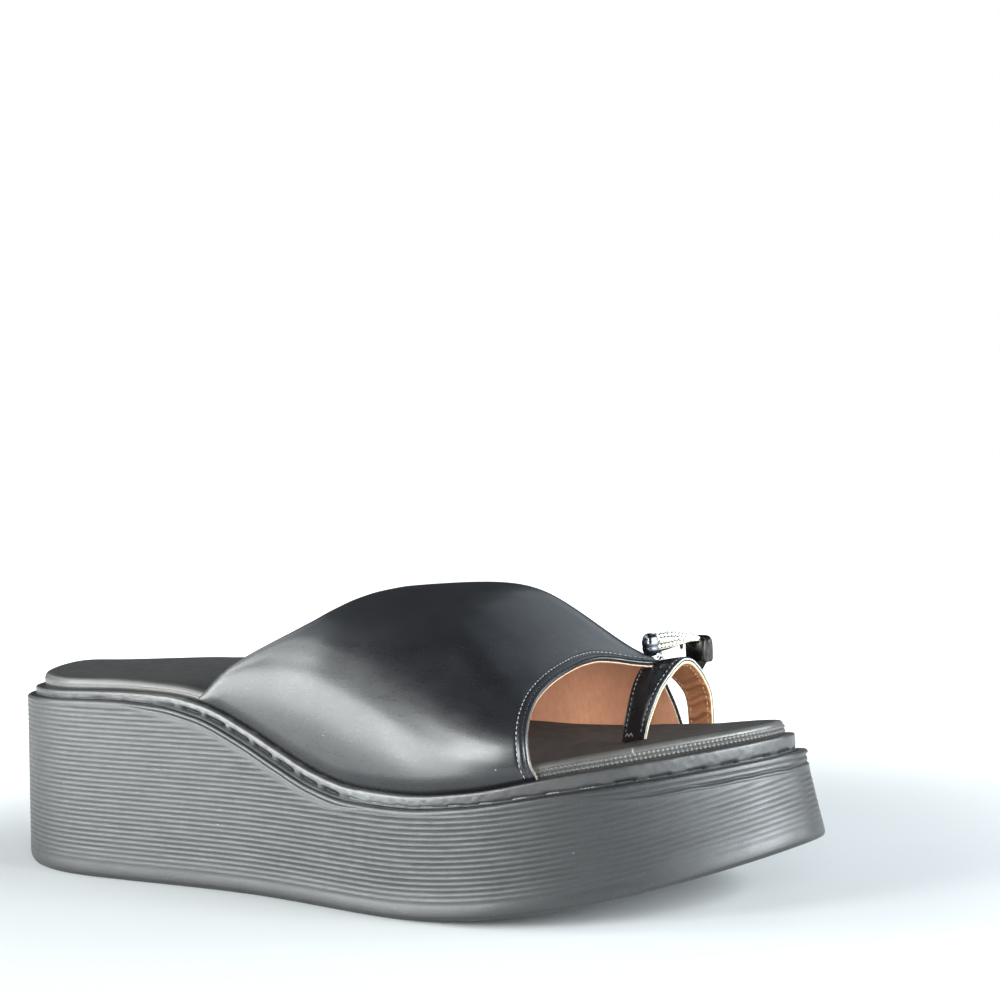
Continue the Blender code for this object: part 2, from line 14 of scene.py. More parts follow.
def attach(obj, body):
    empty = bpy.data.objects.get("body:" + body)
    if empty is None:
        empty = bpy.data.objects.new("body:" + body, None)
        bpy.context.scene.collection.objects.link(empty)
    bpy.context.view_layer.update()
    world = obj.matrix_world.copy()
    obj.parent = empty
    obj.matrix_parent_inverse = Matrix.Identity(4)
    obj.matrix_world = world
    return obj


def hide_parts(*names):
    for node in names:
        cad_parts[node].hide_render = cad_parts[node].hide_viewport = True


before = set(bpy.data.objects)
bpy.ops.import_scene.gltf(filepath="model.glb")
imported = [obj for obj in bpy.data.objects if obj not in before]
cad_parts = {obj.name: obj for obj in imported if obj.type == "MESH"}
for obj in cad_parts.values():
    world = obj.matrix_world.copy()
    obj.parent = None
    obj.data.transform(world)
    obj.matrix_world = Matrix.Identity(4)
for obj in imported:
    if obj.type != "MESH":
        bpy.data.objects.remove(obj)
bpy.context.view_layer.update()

# ---------------------------------------------------------------- dimensions
MM = 0.001
LENGTH, HEEL_X, TIP_Y, GAP = 263.4, 1.0, 7.0, 0.3
TOE_SPRING, SPRING_START = 17.0, 160.0
WALL_TAPER_HEEL, WALL_TAPER_FORE, WALL_TAPER_TOE = 1.6, 2.5, 4.3
TOE_TILT, SOLE_EDGE_ROUND, SOLE_LIP = 0.025, 1.6, 0.9
MIDSOLE_STEP, FOOTBED_STEP, FOOTBED_ROLL = 2.7, 2.9, 2.1
CUP_HEEL, CUP_FORE = 1.5, 1.2
UPPER_WALL, UPPER_SET = 1.9, 0.5
LOOP_WALL, LOOP_NEAR_Y = 2.2, 8.9
KNOB_AT, KNOB_SIZE = (211.2, 17.4, 66.6), (2.1, 2.5, 3.2)
BAR_FROM, BAR_TO = (211.6, 18.1), (219.0, 32.0)
POST_SHARE, POST_RADIUS = 0.13, 0.6
BLOCK_Y, BLOCK_X, BLOCK_TOP, BLOCK_SKIRT = (29.6, 35.0), (214.6, 221.2), 67.4, 60.2

RIB_PITCH = 1.45          # ribs of the sole's side wall
RIB_DEPTH = 0.27
RIB_START = 4.7           # smooth band over the tread
BEAD_PITCH, BEAD_DEPTH = 1.24, 0.42   # beaded lower band of the footbed's side
WELT_PITCH, WELT_SLIT = 9.3, 5.6      # stitches in slits of the groove under the midsole
HEEL_RIM = 1.2            # lift of the footbed's rim behind the heel

OUTLINE = [
    # x      lateral  medial
    (4.6, -15.6, 15.0), (14.5, -25.6, 25.8), (32.0, -33.8, 33.2), (56.0, -36.4, 34.9),
    (86.0, -37.0, 34.6), (112.0, -38.8, 35.2), (138.0, -43.6, 38.4), (162.0, -48.3, 43.2),
    (182.0, -50.1, 46.2), (202.0, -48.5, 46.9), (222.0, -41.9, 44.5), (240.0, -31.0, 38.6),
    (253.6, -17.5, 29.9), (259.6, -9.0, 23.2),
]
PROFILE = [
    # x      sole    mid    bed
    (0.0, 50.7, 2.0, 3.9), (30.0, 51.6, 2.0, 3.2), (55.0, 52.3, 2.1, 3.1), (75.0, 51.5, 2.4, 2.9),
    (90.0, 48.9, 2.7, 3.3), (105.0, 43.5, 2.8, 4.0), (120.0, 37.3, 2.8, 4.3), (135.0, 32.1, 2.9, 4.3),
    (150.0, 29.5, 2.9, 4.3), (170.0, 29.0, 2.9, 4.3), (190.0, 30.2, 3.2, 4.2), (215.0, 33.6, 4.0, 4.0),
    (240.0, 37.2, 4.5, 3.9), (265.0, 41.4, 4.5, 3.6),
]
CREST = [
    # x      y      z     full_lat  full_med
    (86.0, 1.0, 77.0, 3.0, 2.6), (110.0, 3.0, 80.6, 3.25, 2.6), (132.0, 5.0, 82.8, 3.35, 2.6),
    (146.0, 7.0, 83.8, 3.0, 2.5), (160.0, 9.0, 84.2, 2.6, 2.4), (168.0, 10.0, 83.9, 2.4, 2.35),
    (175.0, 11.0, 82.6, 2.3, 2.3), (181.0, 12.0, 79.8, 2.28, 2.2), (187.0, 13.0, 76.0, 2.36, 2.15),
    (194.0, 14.5, 70.9, 2.52, 2.15), (200.0, 15.5, 66.9, 2.66, 2.15), (206.0, 16.5, 63.8, 2.7, 2.15),
    (214.0, 18.0, 61.5, 2.6, 2.15),
]
EDGES = [
    # across  collar  front
    (0.00, 86.6, 210.1), (0.03, 89.4, 208.3), (0.06, 92.0, 207.3), (0.10, 95.7, 206.0), (0.14, 100.2, 204.9),
    (0.185, 107.0, 204.0), (0.23, 114.9, 203.6), (0.265, 121.6, 203.4), (0.30, 127.0, 203.3), (0.36, 131.6, 203.1),
    (0.404, 132.7, 203.4), (0.448, 132.5, 205.7), (0.478, 132.2, 209.4), (0.50, 132.0, 211.5), (0.55, 131.6, 211.6), (0.60, 130.5, 208.3),
    (0.68, 126.0, 205.3), (0.78, 116.0, 204.8), (0.88, 105.0, 206.0), (1.00, 97.0, 208.0),
]
ARCH = [
    # x      lift
    (55.0, 0.0), (85.0, 1.4), (112.0, 3.4), (138.0, 4.5), (160.0, 4.6), (178.0, 3.8),
    (190.0, 3.0), (202.0, 2.2), (213.0, 1.0), (224.0, 0.2), (234.0, 0.0),
]
LOOP_ARCH = [
    # y      z
    (9.4, 45.0), (10.7, 48.8), (13.4, 54.5), (16.0, 57.5), (18.7, 59.7), (21.9, 60.9),
    (24.6, 60.5), (27.8, 58.8), (33.0, 54.9), (36.8, 50.4), (38.0, 46.5),
]
LOOP = [
    # run    rear    front   skew   climb
    (0.00, 206.5, 213.4, 0.00, 0.16), (0.22, 207.1, 216.2, 0.00, 0.14), (0.34, 206.9, 218.2, -0.01, 0.15),
    (0.42, 206.9, 219.3, -0.02, 0.17), (0.50, 208.4, 219.8, -0.03, 0.17), (0.60, 210.2, 219.6, -0.06, 0.17),
    (0.75, 210.5, 218.9, -0.10, 0.14), (1.00, 209.8, 217.8, -0.14, 0.16),
]
BAR = [
    # share  under   top    half
    (0.00, 64.0, 69.8, 2.0), (0.25, 64.4, 69.9, 2.0), (0.50, 65.3, 69.4, 1.9), (0.75, 66.1, 68.6, 1.75),
    (1.00, 66.2, 67.5, 1.5),
]
BLOCK = [
    # share  drop   narrow
    (0.00, 1.6, 1.0), (0.08, 0.5, 0.3), (0.25, 0.0, 0.0), (0.50, 0.5, 0.1), (0.78, -0.2, 0.0),
    (0.92, 0.6, 0.3), (1.00, 2.2, 1.1),
]


# ------------------------------------------------------------------- curves
def column(table, index):
    return np.array([row[index] for row in table], float)


def through(xs, ys):
    """Smooth curve through a table's points that never overshoots them."""
    xs, ys = np.asarray(xs, float), np.asarray(ys, float)
    step = np.diff(xs)
    rise = np.diff(ys) / step
    slope = np.zeros(len(xs))
    slope[0], slope[-1] = rise[0], rise[-1]
    for k in range(1, len(xs) - 1):
        if rise[k - 1] * rise[k] > 0:
            a, b = 2 * step[k] + step[k - 1], step[k] + 2 * step[k - 1]
            slope[k] = (a + b) / (a / rise[k - 1] + b / rise[k])

    def at(x):
        x = np.clip(np.asarray(x, float), xs[0], xs[-1])
        k = np.clip(np.searchsorted(xs, x, side="right") - 1, 0, len(xs) - 2)
        w = step[k]
        t = (x - xs[k]) / w
        return (ys[k] * (1 + 2 * t) * (1 - t) ** 2 + slope[k] * w * t * (1 - t) ** 2
                + ys[k + 1] * t * t * (3 - 2 * t) + slope[k + 1] * w * t * t * (t - 1))

    return at


def periodic(ts, ys, period):
    """Closed cubic spline: returns value(t)."""
    n = len(ts)
    h = np.diff(np.append(ts, ts[0] + period))
    matrix, right = np.zeros((n, n)), np.zeros(n)
    for i in range(n):
        p, q = (i - 1) % n, (i + 1) % n
        matrix[i, p] += h[p]
        matrix[i, i] += 2 * (h[p] + h[i])
        matrix[i, q] += h[i]
        right[i] = 6 * ((ys[q] - ys[i]) / h[i] - (ys[i] - ys[p]) / h[p])
    bend = np.linalg.solve(matrix, right)

    def at(t):
        t = np.mod(np.asarray(t, float) - ts[0], period) + ts[0]
        i = np.clip(np.searchsorted(ts, t, side="right") - 1, 0, n - 1)
        j = (i + 1) % n
        a = (ts[i] + h[i] - t) / h[i]
        b = 1 - a
        return (a * ys[i] + b * ys[j]
                + ((a ** 3 - a) * bend[i] + (b ** 3 - b) * bend[j]) * h[i] ** 2 / 6)

    return at


def make_outline():
    """y of the outline for a turn angle: 0 heel back, pi toe tip, lateral first."""
    turn = np.arccos(1 - 2 * (column(OUTLINE, 0) - HEEL_X) / LENGTH)
    ts = np.concatenate([[0.0], turn, [np.pi], 2 * np.pi - turn[::-1]])
    ys = np.concatenate([[0.0], column(OUTLINE, 1), [TIP_Y], column(OUTLINE, 2)[::-1]])
    return periodic(ts, ys, 2 * np.pi)


outline_y = make_outline()
sole_line = through(column(PROFILE, 0), column(PROFILE, 1))
mid_thick = through(column(PROFILE, 0), column(PROFILE, 2))
bed_rise = through(column(PROFILE, 0), column(PROFILE, 3))
crest_y = through(column(CREST, 0), column(CREST, 1))
crest_z = through(column(CREST, 0), column(CREST, 2))
full_lat = through(column(CREST, 0), column(CREST, 3))
full_med = through(column(CREST, 0), column(CREST, 4))
collar_x = through(column(EDGES, 0), column(EDGES, 1))
front_x = through(column(EDGES, 0), column(EDGES, 2))
loop_x = through(column(LOOP, 0), (column(LOOP, 1) + column(LOOP, 2)) / 2)
loop_half = through(column(LOOP, 0), (column(LOOP, 2) - column(LOOP, 1)) / 2)
arch_lift = through(column(ARCH, 0), column(ARCH, 1))
loop_skew = through(column(LOOP, 0), column(LOOP, 3))
loop_climb = through(column(LOOP, 0), column(LOOP, 4))
bar_under = through(column(BAR, 0), column(BAR, 1))
bar_top = through(column(BAR, 0), column(BAR, 2))
bar_half = through(column(BAR, 0), column(BAR, 3))
block_drop = through(column(BLOCK, 0), column(BLOCK, 1))
block_narrow = through(column(BLOCK, 0), column(BLOCK, 2))


def smooth(a, b, x):
    t = np.clip((np.asarray(x, float) - a) / (b - a), 0, 1)
    return t * t * (3 - 2 * t)


def unit(v):
    return v / np.maximum(np.linalg.norm(v, axis=-1, keepdims=True), 1e-9)


def sole_bottom(x):
    t = np.clip((np.asarray(x, float) - SPRING_START) / (HEEL_X + LENGTH - SPRING_START), 0, 1)
    return TOE_SPRING * t * t


def wall_taper(x):
    return (WALL_TAPER_HEEL + (WALL_TAPER_FORE - WALL_TAPER_HEEL) * smooth(0, 60, x)
            + (WALL_TAPER_TOE - WALL_TAPER_FORE) * smooth(225, 262, x))


def sole_top(x, y):
    return sole_line(x) - TOE_TILT * (np.asarray(y, float) - TIP_Y) * smooth(150, 235, x)


def mid_top(x, y):
    return sole_top(x, y) + GAP + mid_thick(x)


def ring_frame(turns):
    """Outline points for turn angles and the inward direction there, as (n, 2) each."""
    def raw(t):
        return np.column_stack([HEEL_X + LENGTH / 2 * (1 - np.cos(t)), outline_y(t)])
    along = unit(raw(turns + 1e-3) - raw(turns - 1e-3))
    return raw(turns), np.column_stack([-along[:, 1], along[:, 0]])


def plan(inset, turns):
    here, inward = ring_frame(turns)
    return here + inward * (np.reshape(inset, (-1, 1)) if np.ndim(inset) else inset)


def even_turns(extra, count):
    """Turn angles evenly spaced along the outline moved in by its taper and extra, and the ring's length."""
    fine = np.linspace(0, 2 * np.pi, 6001)
    ring = plan(wall_taper(ring_frame(fine)[0][:, 0]) + extra, fine)
    far = np.concatenate([[0], np.cumsum(np.linalg.norm(np.diff(ring, axis=0), axis=1))])
    return np.interp(np.linspace(0, far[-1], count, endpoint=False), far, fine), far[-1]


def outline_at(x, side, inset):
    """y of the inset outline at a station. side is -1 lateral, 1 medial."""
    fine = np.linspace(0.02, np.pi - 0.02, 400)
    turns = fine if side < 0 else 2 * np.pi - fine
    flat = plan(wall_taper(ring_frame(turns)[0][:, 0]) + inset, turns)
    return np.interp(x, flat[:, 0], flat[:, 1])


def bed_ridge(x, y, medial):
    return mid_top(x, y) + GAP + bed_rise(x) + arch_lift(x) * medial


def cup_depth(x):
    return CUP_FORE + (CUP_HEEL - CUP_FORE) * (1 - smooth(60, 150, x))


def cup_form(share):
    return 1 - np.abs(2 * share - 1) ** 2.6


def bed_surface(x, y):
    """Height of the footbed's top at a point of the forefoot."""
    inset = MIDSOLE_STEP + FOOTBED_STEP + FOOTBED_ROLL
    low, high = outline_at(x, -1, inset), outline_at(x, 1, inset)
    share = (y - low) / (high - low)
    a, b = bed_ridge(x, low, 0.0), bed_ridge(x, high, 1.0)
    return a + (b - a) * share - cup_depth(x) * cup_form(share)


_edge = plan(0.0, np.linspace(0, 2 * np.pi, 720, endpoint=False))[:, 1]
MIDDLE = np.array([HEEL_X + LENGTH / 2, (_edge.min() + _edge.max()) / 2, 0.0])


def ripple(rng, waves, length=None):
    """Sum of sines a(u): waves lists wavelength and height. Closed over length where that is given."""
    terms = []
    for wave, height in waves:
        k = 2 * np.pi / wave if length is None else 2 * np.pi * max(1, round(length / wave)) / length
        terms.append((k, height, rng.uniform(0, 2 * np.pi)))
    return lambda u: sum(h * np.sin(k * u + p) for k, h, p in terms)


# ------------------------------------------------------------------- meshes
def make(name, points, faces, material, slot, stands_for=(), flat=False, sharp=None, painted_shade=None, top=None):
    """Piece from millimetre points, riding on the one body."""
    mesh = bpy.data.meshes.new(name)
    mesh.from_pydata(((np.asarray(points, float) - MIDDLE) * MM).tolist(), [], faces)
    if painted_shade is not None:      # painted shade: 0 on ridges, 1 in the bottom of grooves
        mesh.attributes.new("painted_shade", "FLOAT", "POINT").data.foreach_set("value", np.asarray(painted_shade, np.float32))
    mesh.materials.append(material)
    if top is not None:         # second material from this face on
        mesh.materials.append(top[0])
        mesh.polygons.foreach_set("material_index", (np.arange(len(mesh.polygons)) >= top[1]).astype(np.int32))
    shell = bmesh.new()
    shell.from_mesh(mesh)
    bmesh.ops.recalc_face_normals(shell, faces=shell.faces)
    shell.to_mesh(mesh)
    shell.free()
    if flat:
        mesh.shade_flat()
    else:
        mesh.shade_smooth()
        if sharp:
            mesh.set_sharp_from_angle(angle=np.radians(sharp))
    obj = bpy.data.objects.new(name, mesh)
    bpy.context.scene.collection.objects.link(obj)
    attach(obj, "root")
    if stands_for:
        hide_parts(*stands_for)
    return obj


def grid_faces(rows, cols, closed=False, start=0):
    """Quads of a grid of points numbered row by row."""
    r = np.arange(rows - 1)[:, None]
    c = np.arange(cols if closed else cols - 1)[None, :]
    d = (c + 1) % cols
    quads = np.stack([r * cols + c, r * cols + d, (r + 1) * cols + d, (r + 1) * cols + c], axis=-1)
    return [tuple(q) for q in (quads.reshape(-1, 4) + start).tolist()]


def ladder(n, base):
    """Cap of a ring whose points pair up across the shoe."""
    faces = [(base, base + 1, base + n - 1)]
    for i in range(1, n // 2 - 1):
        faces.append((base + i, base + i + 1, base + n - i - 1, base + n - i))
    faces.append((base + n // 2 - 1, base + n // 2, base + n // 2 + 1))
    return faces


def join(parts):
    """One list of points and faces from several."""
    points, faces, count = [], [], 0
    for p, f in parts:
        points.append(np.asarray(p, float))
        faces += [tuple(v + count for v in face) for face in f]
        count += len(p)
    return np.vstack(points), faces


def capsules(centres, along, up, length, radius, flatten=0.8, sides=8, rings=7):
    """Many small rounded stitches as one mesh. length and radius are numbers or one value each."""
    centres, along, up = np.asarray(centres), unit(np.asarray(along)), np.asarray(up)
    side = unit(np.cross(along, up))
    up = np.cross(side, along)
    length = np.broadcast_to(length, len(centres))
    radius = np.broadcast_to(radius, len(centres))
    t = np.linspace(-1, 1, rings)
    wide = np.sqrt(np.maximum(0.02, 1 - np.abs(t) ** 3.2))
    dip = -0.55 * np.abs(t) ** 2.5
    turn = np.linspace(0, 2 * np.pi, sides, endpoint=False)
    points = (centres[:, None, None]
              + along[:, None, None] * (t[:, None] * length[:, None, None] / 2)[..., None]
              + side[:, None, None] * (np.cos(turn) * wide[:, None] * radius[:, None, None])[..., None]
              + up[:, None, None] * ((np.sin(turn) * wide[:, None] * flatten + dip[:, None]) * radius[:, None, None])[..., None])
    one = grid_faces(rings, sides, closed=True)
    one += [tuple(range(sides))[::-1], tuple((rings - 1) * sides + k for k in range(sides))]
    size = rings * sides
    faces = [tuple(v + k * size for v in f) for k in range(len(centres)) for f in one]
    return points.reshape(-1, 3), faces


def spaced(line, pitch, first=None):
    """Positions along a polyline at even spacing: fractional index of each."""
    far = np.concatenate([[0], np.cumsum(np.linalg.norm(np.diff(line, axis=0), axis=1))])
    count = max(1, int(far[-1] / pitch))
    at = (far[-1] - (count - 1) * pitch) / 2 + np.arange(count) * pitch if first is None else np.arange(first, far[-1], pitch)
    return np.interp(at, far, np.arange(len(line)))


def lerp_rows(table, index):
    i = np.clip(index.astype(int), 0, len(table) - 2)
    f = (index - i)[:, None]
    return table[i] * (1 - f) + table[i + 1] * f


# ----------------------------------------------------------------- materials
class Paint:
    """A Principled material with a few helpers for its node tree."""

    def __init__(self, name, color=(0.5, 0.5, 0.5), roughness=0.5, **sockets):
        self.material = bpy.data.materials.new(name)
        self.material.use_nodes = True
        self.tree = self.material.node_tree
        self.bsdf = self.tree.nodes["Principled BSDF"]
        self.bsdf.inputs["Base Color"].default_value = (*color, 1.0)
        self.bsdf.inputs["Roughness"].default_value = roughness
        for key, value in sockets.items():
            socket = self.bsdf.inputs[key.replace("_", " ")]
            socket.default_value = value if np.ndim(value) == 0 else (*value, 1.0)[:len(socket.default_value)]
        self.place = self.tree.nodes.new("ShaderNodeTexCoord")

    def link(self, a, b):
        self.tree.links.new(a, b)

    def node(self, kind, **settings):
        made = self.tree.nodes.new(kind)
        for key, value in settings.items():
            setattr(made, key, value)
        return made

    def where(self, scale=(1, 1, 1), turn=(0, 0, 0), space="Object"):
        made = self.node("ShaderNodeMapping")
        made.inputs["Scale"].default_value = scale
        made.inputs["Rotation"].default_value = turn
        self.link(self.place.outputs[space], made.inputs["Vector"])
        return made.outputs["Vector"]

    def noise(self, scale, detail=2.0, rough=0.5, stretch=(1, 1, 1), turn=(0, 0, 0), space="Object", distort=0.0):
        made = self.node("ShaderNodeTexNoise")
        made.inputs["Scale"].default_value = scale
        made.inputs["Detail"].default_value = detail
        made.inputs["Roughness"].default_value = rough
        made.inputs["Distortion"].default_value = distort
        self.link(self.where(stretch, turn, space), made.inputs["Vector"])
        return made.outputs["Fac"]

    def wave(self, scale, turn=(0, 0, 0), space="Object", distort=0.0, detail=1.0, stretch=(1, 1, 1)):
        made = self.node("ShaderNodeTexWave")
        made.inputs["Scale"].default_value = scale
        made.inputs["Distortion"].default_value = distort
        made.inputs["Detail"].default_value = detail
        self.link(self.where(stretch, turn, space), made.inputs["Vector"])
        return made.outputs["Fac"]

    def remap(self, value, low, high, to_low, to_high):
        made = self.node("ShaderNodeMapRange")
        for key, number in (("From Min", low), ("From Max", high), ("To Min", to_low), ("To Max", to_high)):
            made.inputs[key].default_value = number
        self.link(value, made.inputs["Value"])
        return made.outputs["Result"]

    def math(self, operation, a, b):
        made = self.node("ShaderNodeMath", operation=operation)
        for socket, value in zip(made.inputs, (a, b)):
            if isinstance(value, (int, float)):
                socket.default_value = value
            else:
                self.link(value, socket)
        return made.outputs[0]

    def mix(self, factor, a, b):
        made = self.node("ShaderNodeMix", data_type="RGBA")
        self.link(factor, made.inputs["Factor"])
        for socket, value in ((made.inputs[6], a), (made.inputs[7], b)):
            if isinstance(value, tuple):
                socket.default_value = (*value, 1.0)
            else:
                self.link(value, socket)
        return made.outputs[2]

    def specks(self, scale, size, share):
        """Mask of few tiny round specks: cells a metre, radius in cells, share of the cells."""
        made = self.node("ShaderNodeTexVoronoi")
        made.inputs["Scale"].default_value = scale
        self.link(self.where(), made.inputs["Vector"])
        pick = self.node("ShaderNodeSeparateColor")
        self.link(made.outputs["Color"], pick.inputs["Color"])
        few = self.math("GREATER_THAN", pick.outputs[0], 1.0 - share)
        near = self.remap(made.outputs["Distance"], size, size * 0.4, 0.0, 1.0)
        return self.math("MULTIPLY", few, near)

    # mask of painted shade stored on the mesh, used to darken grooves
    def painted_shade(self):
        return self.node("ShaderNodeAttribute", attribute_name="painted_shade").outputs["Fac"]

    def bump(self, height, strength, distance, after=None):
        made = self.node("ShaderNodeBump")
        made.inputs["Strength"].default_value = strength
        made.inputs["Distance"].default_value = distance
        self.link(height, made.inputs["Height"])
        if after is not None:
            self.link(after, made.inputs["Normal"])
        return made.outputs["Normal"]

    def finish(self, color=None, roughness=None, normal=None):
        for key, value in (("Base Color", color), ("Roughness", roughness), ("Normal", normal)):
            if value is not None:
                self.link(value, self.bsdf.inputs[key])
        return self.material


def foam_paint():
    p = Paint("sole_foam_look", roughness=0.45, Specular_IOR_Level=0.85)
    cloud = p.noise(60, 4, 0.6)
    tone = p.mix(p.remap(cloud, 0.3, 0.7, 0, 1), (0.0125, 0.0130, 0.0138), (0.0195, 0.0202, 0.0212))
    grain = p.noise(2600, 3, 0.6)
    tone = p.mix(p.remap(grain, 0.58, 0.76, 0, 0.6), tone, (0.085, 0.087, 0.090))
    groove = p.painted_shade()
    # painted shade: the rib grooves and crease lines are darkened towards black
    tone = p.mix(p.remap(groove, 0.1, 0.9, 0, 0.7), tone, (0.008, 0.008, 0.009))
    tone = p.mix(p.specks(260, 0.045, 0.07), tone, (0.40, 0.41, 0.42))
    rough = p.math("ADD", p.remap(p.noise(420, 3, 0.6), 0.25, 0.75, 0.34, 0.46), p.remap(groove, 0.0, 0.8, 0.0, 0.3))
    normal = p.bump(grain, 0.6, 0.00010)
    normal = p.bump(p.noise(260, 3, 0.55), 0.3, 0.00016, normal)
    return p.finish(tone, rough, normal)


def midsole_paint():
    p = Paint("midsole_look", roughness=0.42, Specular_IOR_Level=0.9)
    tone = p.mix(p.remap(p.noise(180, 4, 0.6), 0.3, 0.7, 0, 1), (0.020, 0.020, 0.021), (0.034, 0.0335, 0.034))
    # painted sheen: the face is made lighter along the arch
    place = p.node("ShaderNodeSeparateXYZ")
    p.link(p.where(), place.inputs[0])
    arch_sheen = p.math("MULTIPLY", p.remap(place.outputs["X"], -0.085, -0.05, 0, 1), p.remap(place.outputs["X"], 0.025, 0.055, 1, 0))
    arch_sheen = p.math("MULTIPLY", arch_sheen, p.remap(p.noise(220, 3, 0.6), 0.25, 0.75, 0.55, 0.95))
    tone = p.mix(arch_sheen, tone, (0.145, 0.147, 0.147))
    groove = p.painted_shade()
    # painted shade: slits and groove darkened towards black
    tone = p.mix(p.remap(groove, 0.15, 0.8, 0, 0.97), tone, (0.004, 0.004, 0.004))
    tone = p.mix(p.specks(300, 0.05, 0.03), tone, (0.35, 0.35, 0.35))
    rough = p.math("ADD", p.remap(p.noise(600, 3, 0.6), 0.25, 0.75, 0.33, 0.48), p.remap(groove, 0.2, 0.9, 0.0, 0.4))
    normal = p.bump(p.noise(520, 4, 0.6, distort=0.4), 0.45, 0.00022)
    normal = p.bump(p.noise(2400, 2, 0.5), 0.3, 0.00005, normal)
    return p.finish(tone, rough, normal)


def bed_paint():
    p = Paint("footbed_top_look", roughness=0.8, Specular_IOR_Level=0.3)
    worn = p.remap(p.noise(24, 3, 0.55), 0.3, 0.7, 0, 1)
    tone = p.mix(worn, (0.0385, 0.0372, 0.0362), (0.0540, 0.0527, 0.0520))
    # painted light: the top is made lighter towards the toe
    place = p.node("ShaderNodeSeparateXYZ")
    p.link(p.where(), place.inputs[0])
    tone = p.mix(p.remap(place.outputs["X"], 0.045, 0.115, 0, 0.8), tone, (0.074, 0.071, 0.069))
    diagonal = p.wave(900, turn=(0, 0, np.radians(38)), distort=0.6)
    across = p.wave(900, turn=(0, 0, np.radians(-52)), distort=0.6)
    weave = p.math("MULTIPLY", diagonal, across)
    tone = p.mix(p.remap(weave, 0.0, 0.9, 0.0, 0.55), tone, (0.066, 0.063, 0.061))
    normal = p.bump(weave, 0.6, 0.00012)
    normal = p.bump(p.noise(1500, 3, 0.6), 0.25, 0.00008, normal)
    rough = p.remap(p.noise(300, 2, 0.5), 0.3, 0.7, 0.68, 0.86)
    return p.finish(tone, rough, normal)


def bead_paint():
    p = Paint("footbed_edge_look", roughness=0.4, Specular_IOR_Level=0.9)
    tone = p.mix(p.remap(p.noise(140, 3, 0.6), 0.3, 0.7, 0, 1), (0.050, 0.0475, 0.044), (0.074, 0.070, 0.065))
    groove = p.painted_shade()
    # painted shade between the beads
    tone = p.mix(p.remap(groove, 0.3, 1.0, 0, 0.9), tone, (0.006, 0.006, 0.006))
    rough = p.math("ADD", p.remap(p.noise(900, 2, 0.5), 0.3, 0.7, 0.34, 0.48), p.remap(groove, 0.2, 1.0, 0.0, 0.4))
    normal = p.bump(p.noise(1800, 3, 0.6), 0.3, 0.00006)
    return p.finish(tone, rough, normal)


def leather_paint(name="upper_leather_look", streak=(1, 1, 1)):
    p = Paint(name, roughness=0.25, Specular_IOR_Level=0.5, Coat_Weight=0.2, Coat_Roughness=0.18)
    tone = p.mix(p.remap(p.noise(90, 4, 0.6), 0.3, 0.7, 0, 1), (0.0075, 0.0078, 0.0092), (0.0125, 0.0128, 0.0148))
    tone = p.mix(p.specks(330, 0.06, 0.035), tone, (0.5, 0.5, 0.5))
    brushed = p.noise(420, 4, 0.62, stretch=(0.35, 1.0, 1.0))
    # the crest is rubbed duller
    place = p.node("ShaderNodeSeparateXYZ")
    p.link(p.where(), place.inputs[0])
    rough = p.math("ADD", p.remap(brushed, 0.25, 0.75, 0.245, 0.315), p.remap(place.outputs["Z"], 0.071, 0.081, 0.0, 0.16))
    normal = p.bump(brushed, 0.085, 0.00012)
    normal = p.bump(p.noise(1700, 3, 0.6), 0.13, 0.00005, normal)
    return p.finish(tone, rough, normal)


def lining_paint(name, dull, bright, worn):
    p = Paint(name, roughness=0.62, Specular_IOR_Level=0.35)
    streak = p.noise(520, 4, 0.65, stretch=(1.5, 1.5, 0.6))
    tone = p.mix(p.remap(streak, 0.3, 0.7, 0, 1), dull, bright)
    tone = p.mix(p.remap(p.noise(62, 3, 0.6), 0.36, 0.70, 0, 0.55), tone, worn)
    normal = p.bump(streak, 0.25, 0.00008)
    normal = p.bump(p.noise(1600, 2, 0.5), 0.2, 0.00005, normal)
    rough = p.remap(streak, 0.3, 0.7, 0.52, 0.72)
    return p.finish(tone, rough, normal)


def edge_paint(name, dull, bright, rough):
    p = Paint(name, roughness=rough, Specular_IOR_Level=0.5)
    fibre = p.noise(1500, 3, 0.6)
    tone = p.mix(p.remap(fibre, 0.3, 0.7, 0, 1), dull, bright)
    return p.finish(tone, p.remap(fibre, 0.3, 0.7, rough - 0.1, rough + 0.12), p.bump(fibre, 0.4, 0.00012))


def thread_paint(name, dull, bright, rough, **sockets):
    p = Paint(name, roughness=rough, **sockets)
    fibre = p.noise(3200, 3, 0.6)
    tone = p.mix(p.remap(fibre, 0.3, 0.7, 0, 1), dull, bright)
    return p.finish(tone, p.remap(fibre, 0.3, 0.7, rough - 0.06, rough + 0.15), p.bump(fibre, 0.5, 0.00010))


def metal_paint(name, dull, bright, rough):
    p = Paint(name, roughness=rough, Metallic=1.0)
    cloud = p.noise(420, 3, 0.6)
    tone = p.mix(p.remap(cloud, 0.3, 0.7, 0, 1), dull, bright)
    tarnish = p.noise(1500, 3, 0.6)
    return p.finish(tone, p.remap(tarnish, 0.3, 0.75, rough * 0.6, rough * 1.6), p.bump(tarnish, 0.12, 0.00006))


def stone_paint():
    p = Paint("ornament_stone", roughness=0.12, Specular_IOR_Level=1.0)
    cloud = p.noise(900, 3, 0.6)
    tone = p.mix(p.remap(cloud, 0.3, 0.7, 0, 1), (0.58, 0.59, 0.55), (0.90, 0.91, 0.88))
    tint = p.noise(700, 1, 0.4)
    tone = p.mix(p.remap(tint, 0.60, 0.72, 0, 0.75), tone, (0.20, 0.20, 0.14))
    return p.finish(tone, p.remap(cloud, 0.3, 0.7, 0.06, 0.2), p.bump(cloud, 0.1, 0.00005))


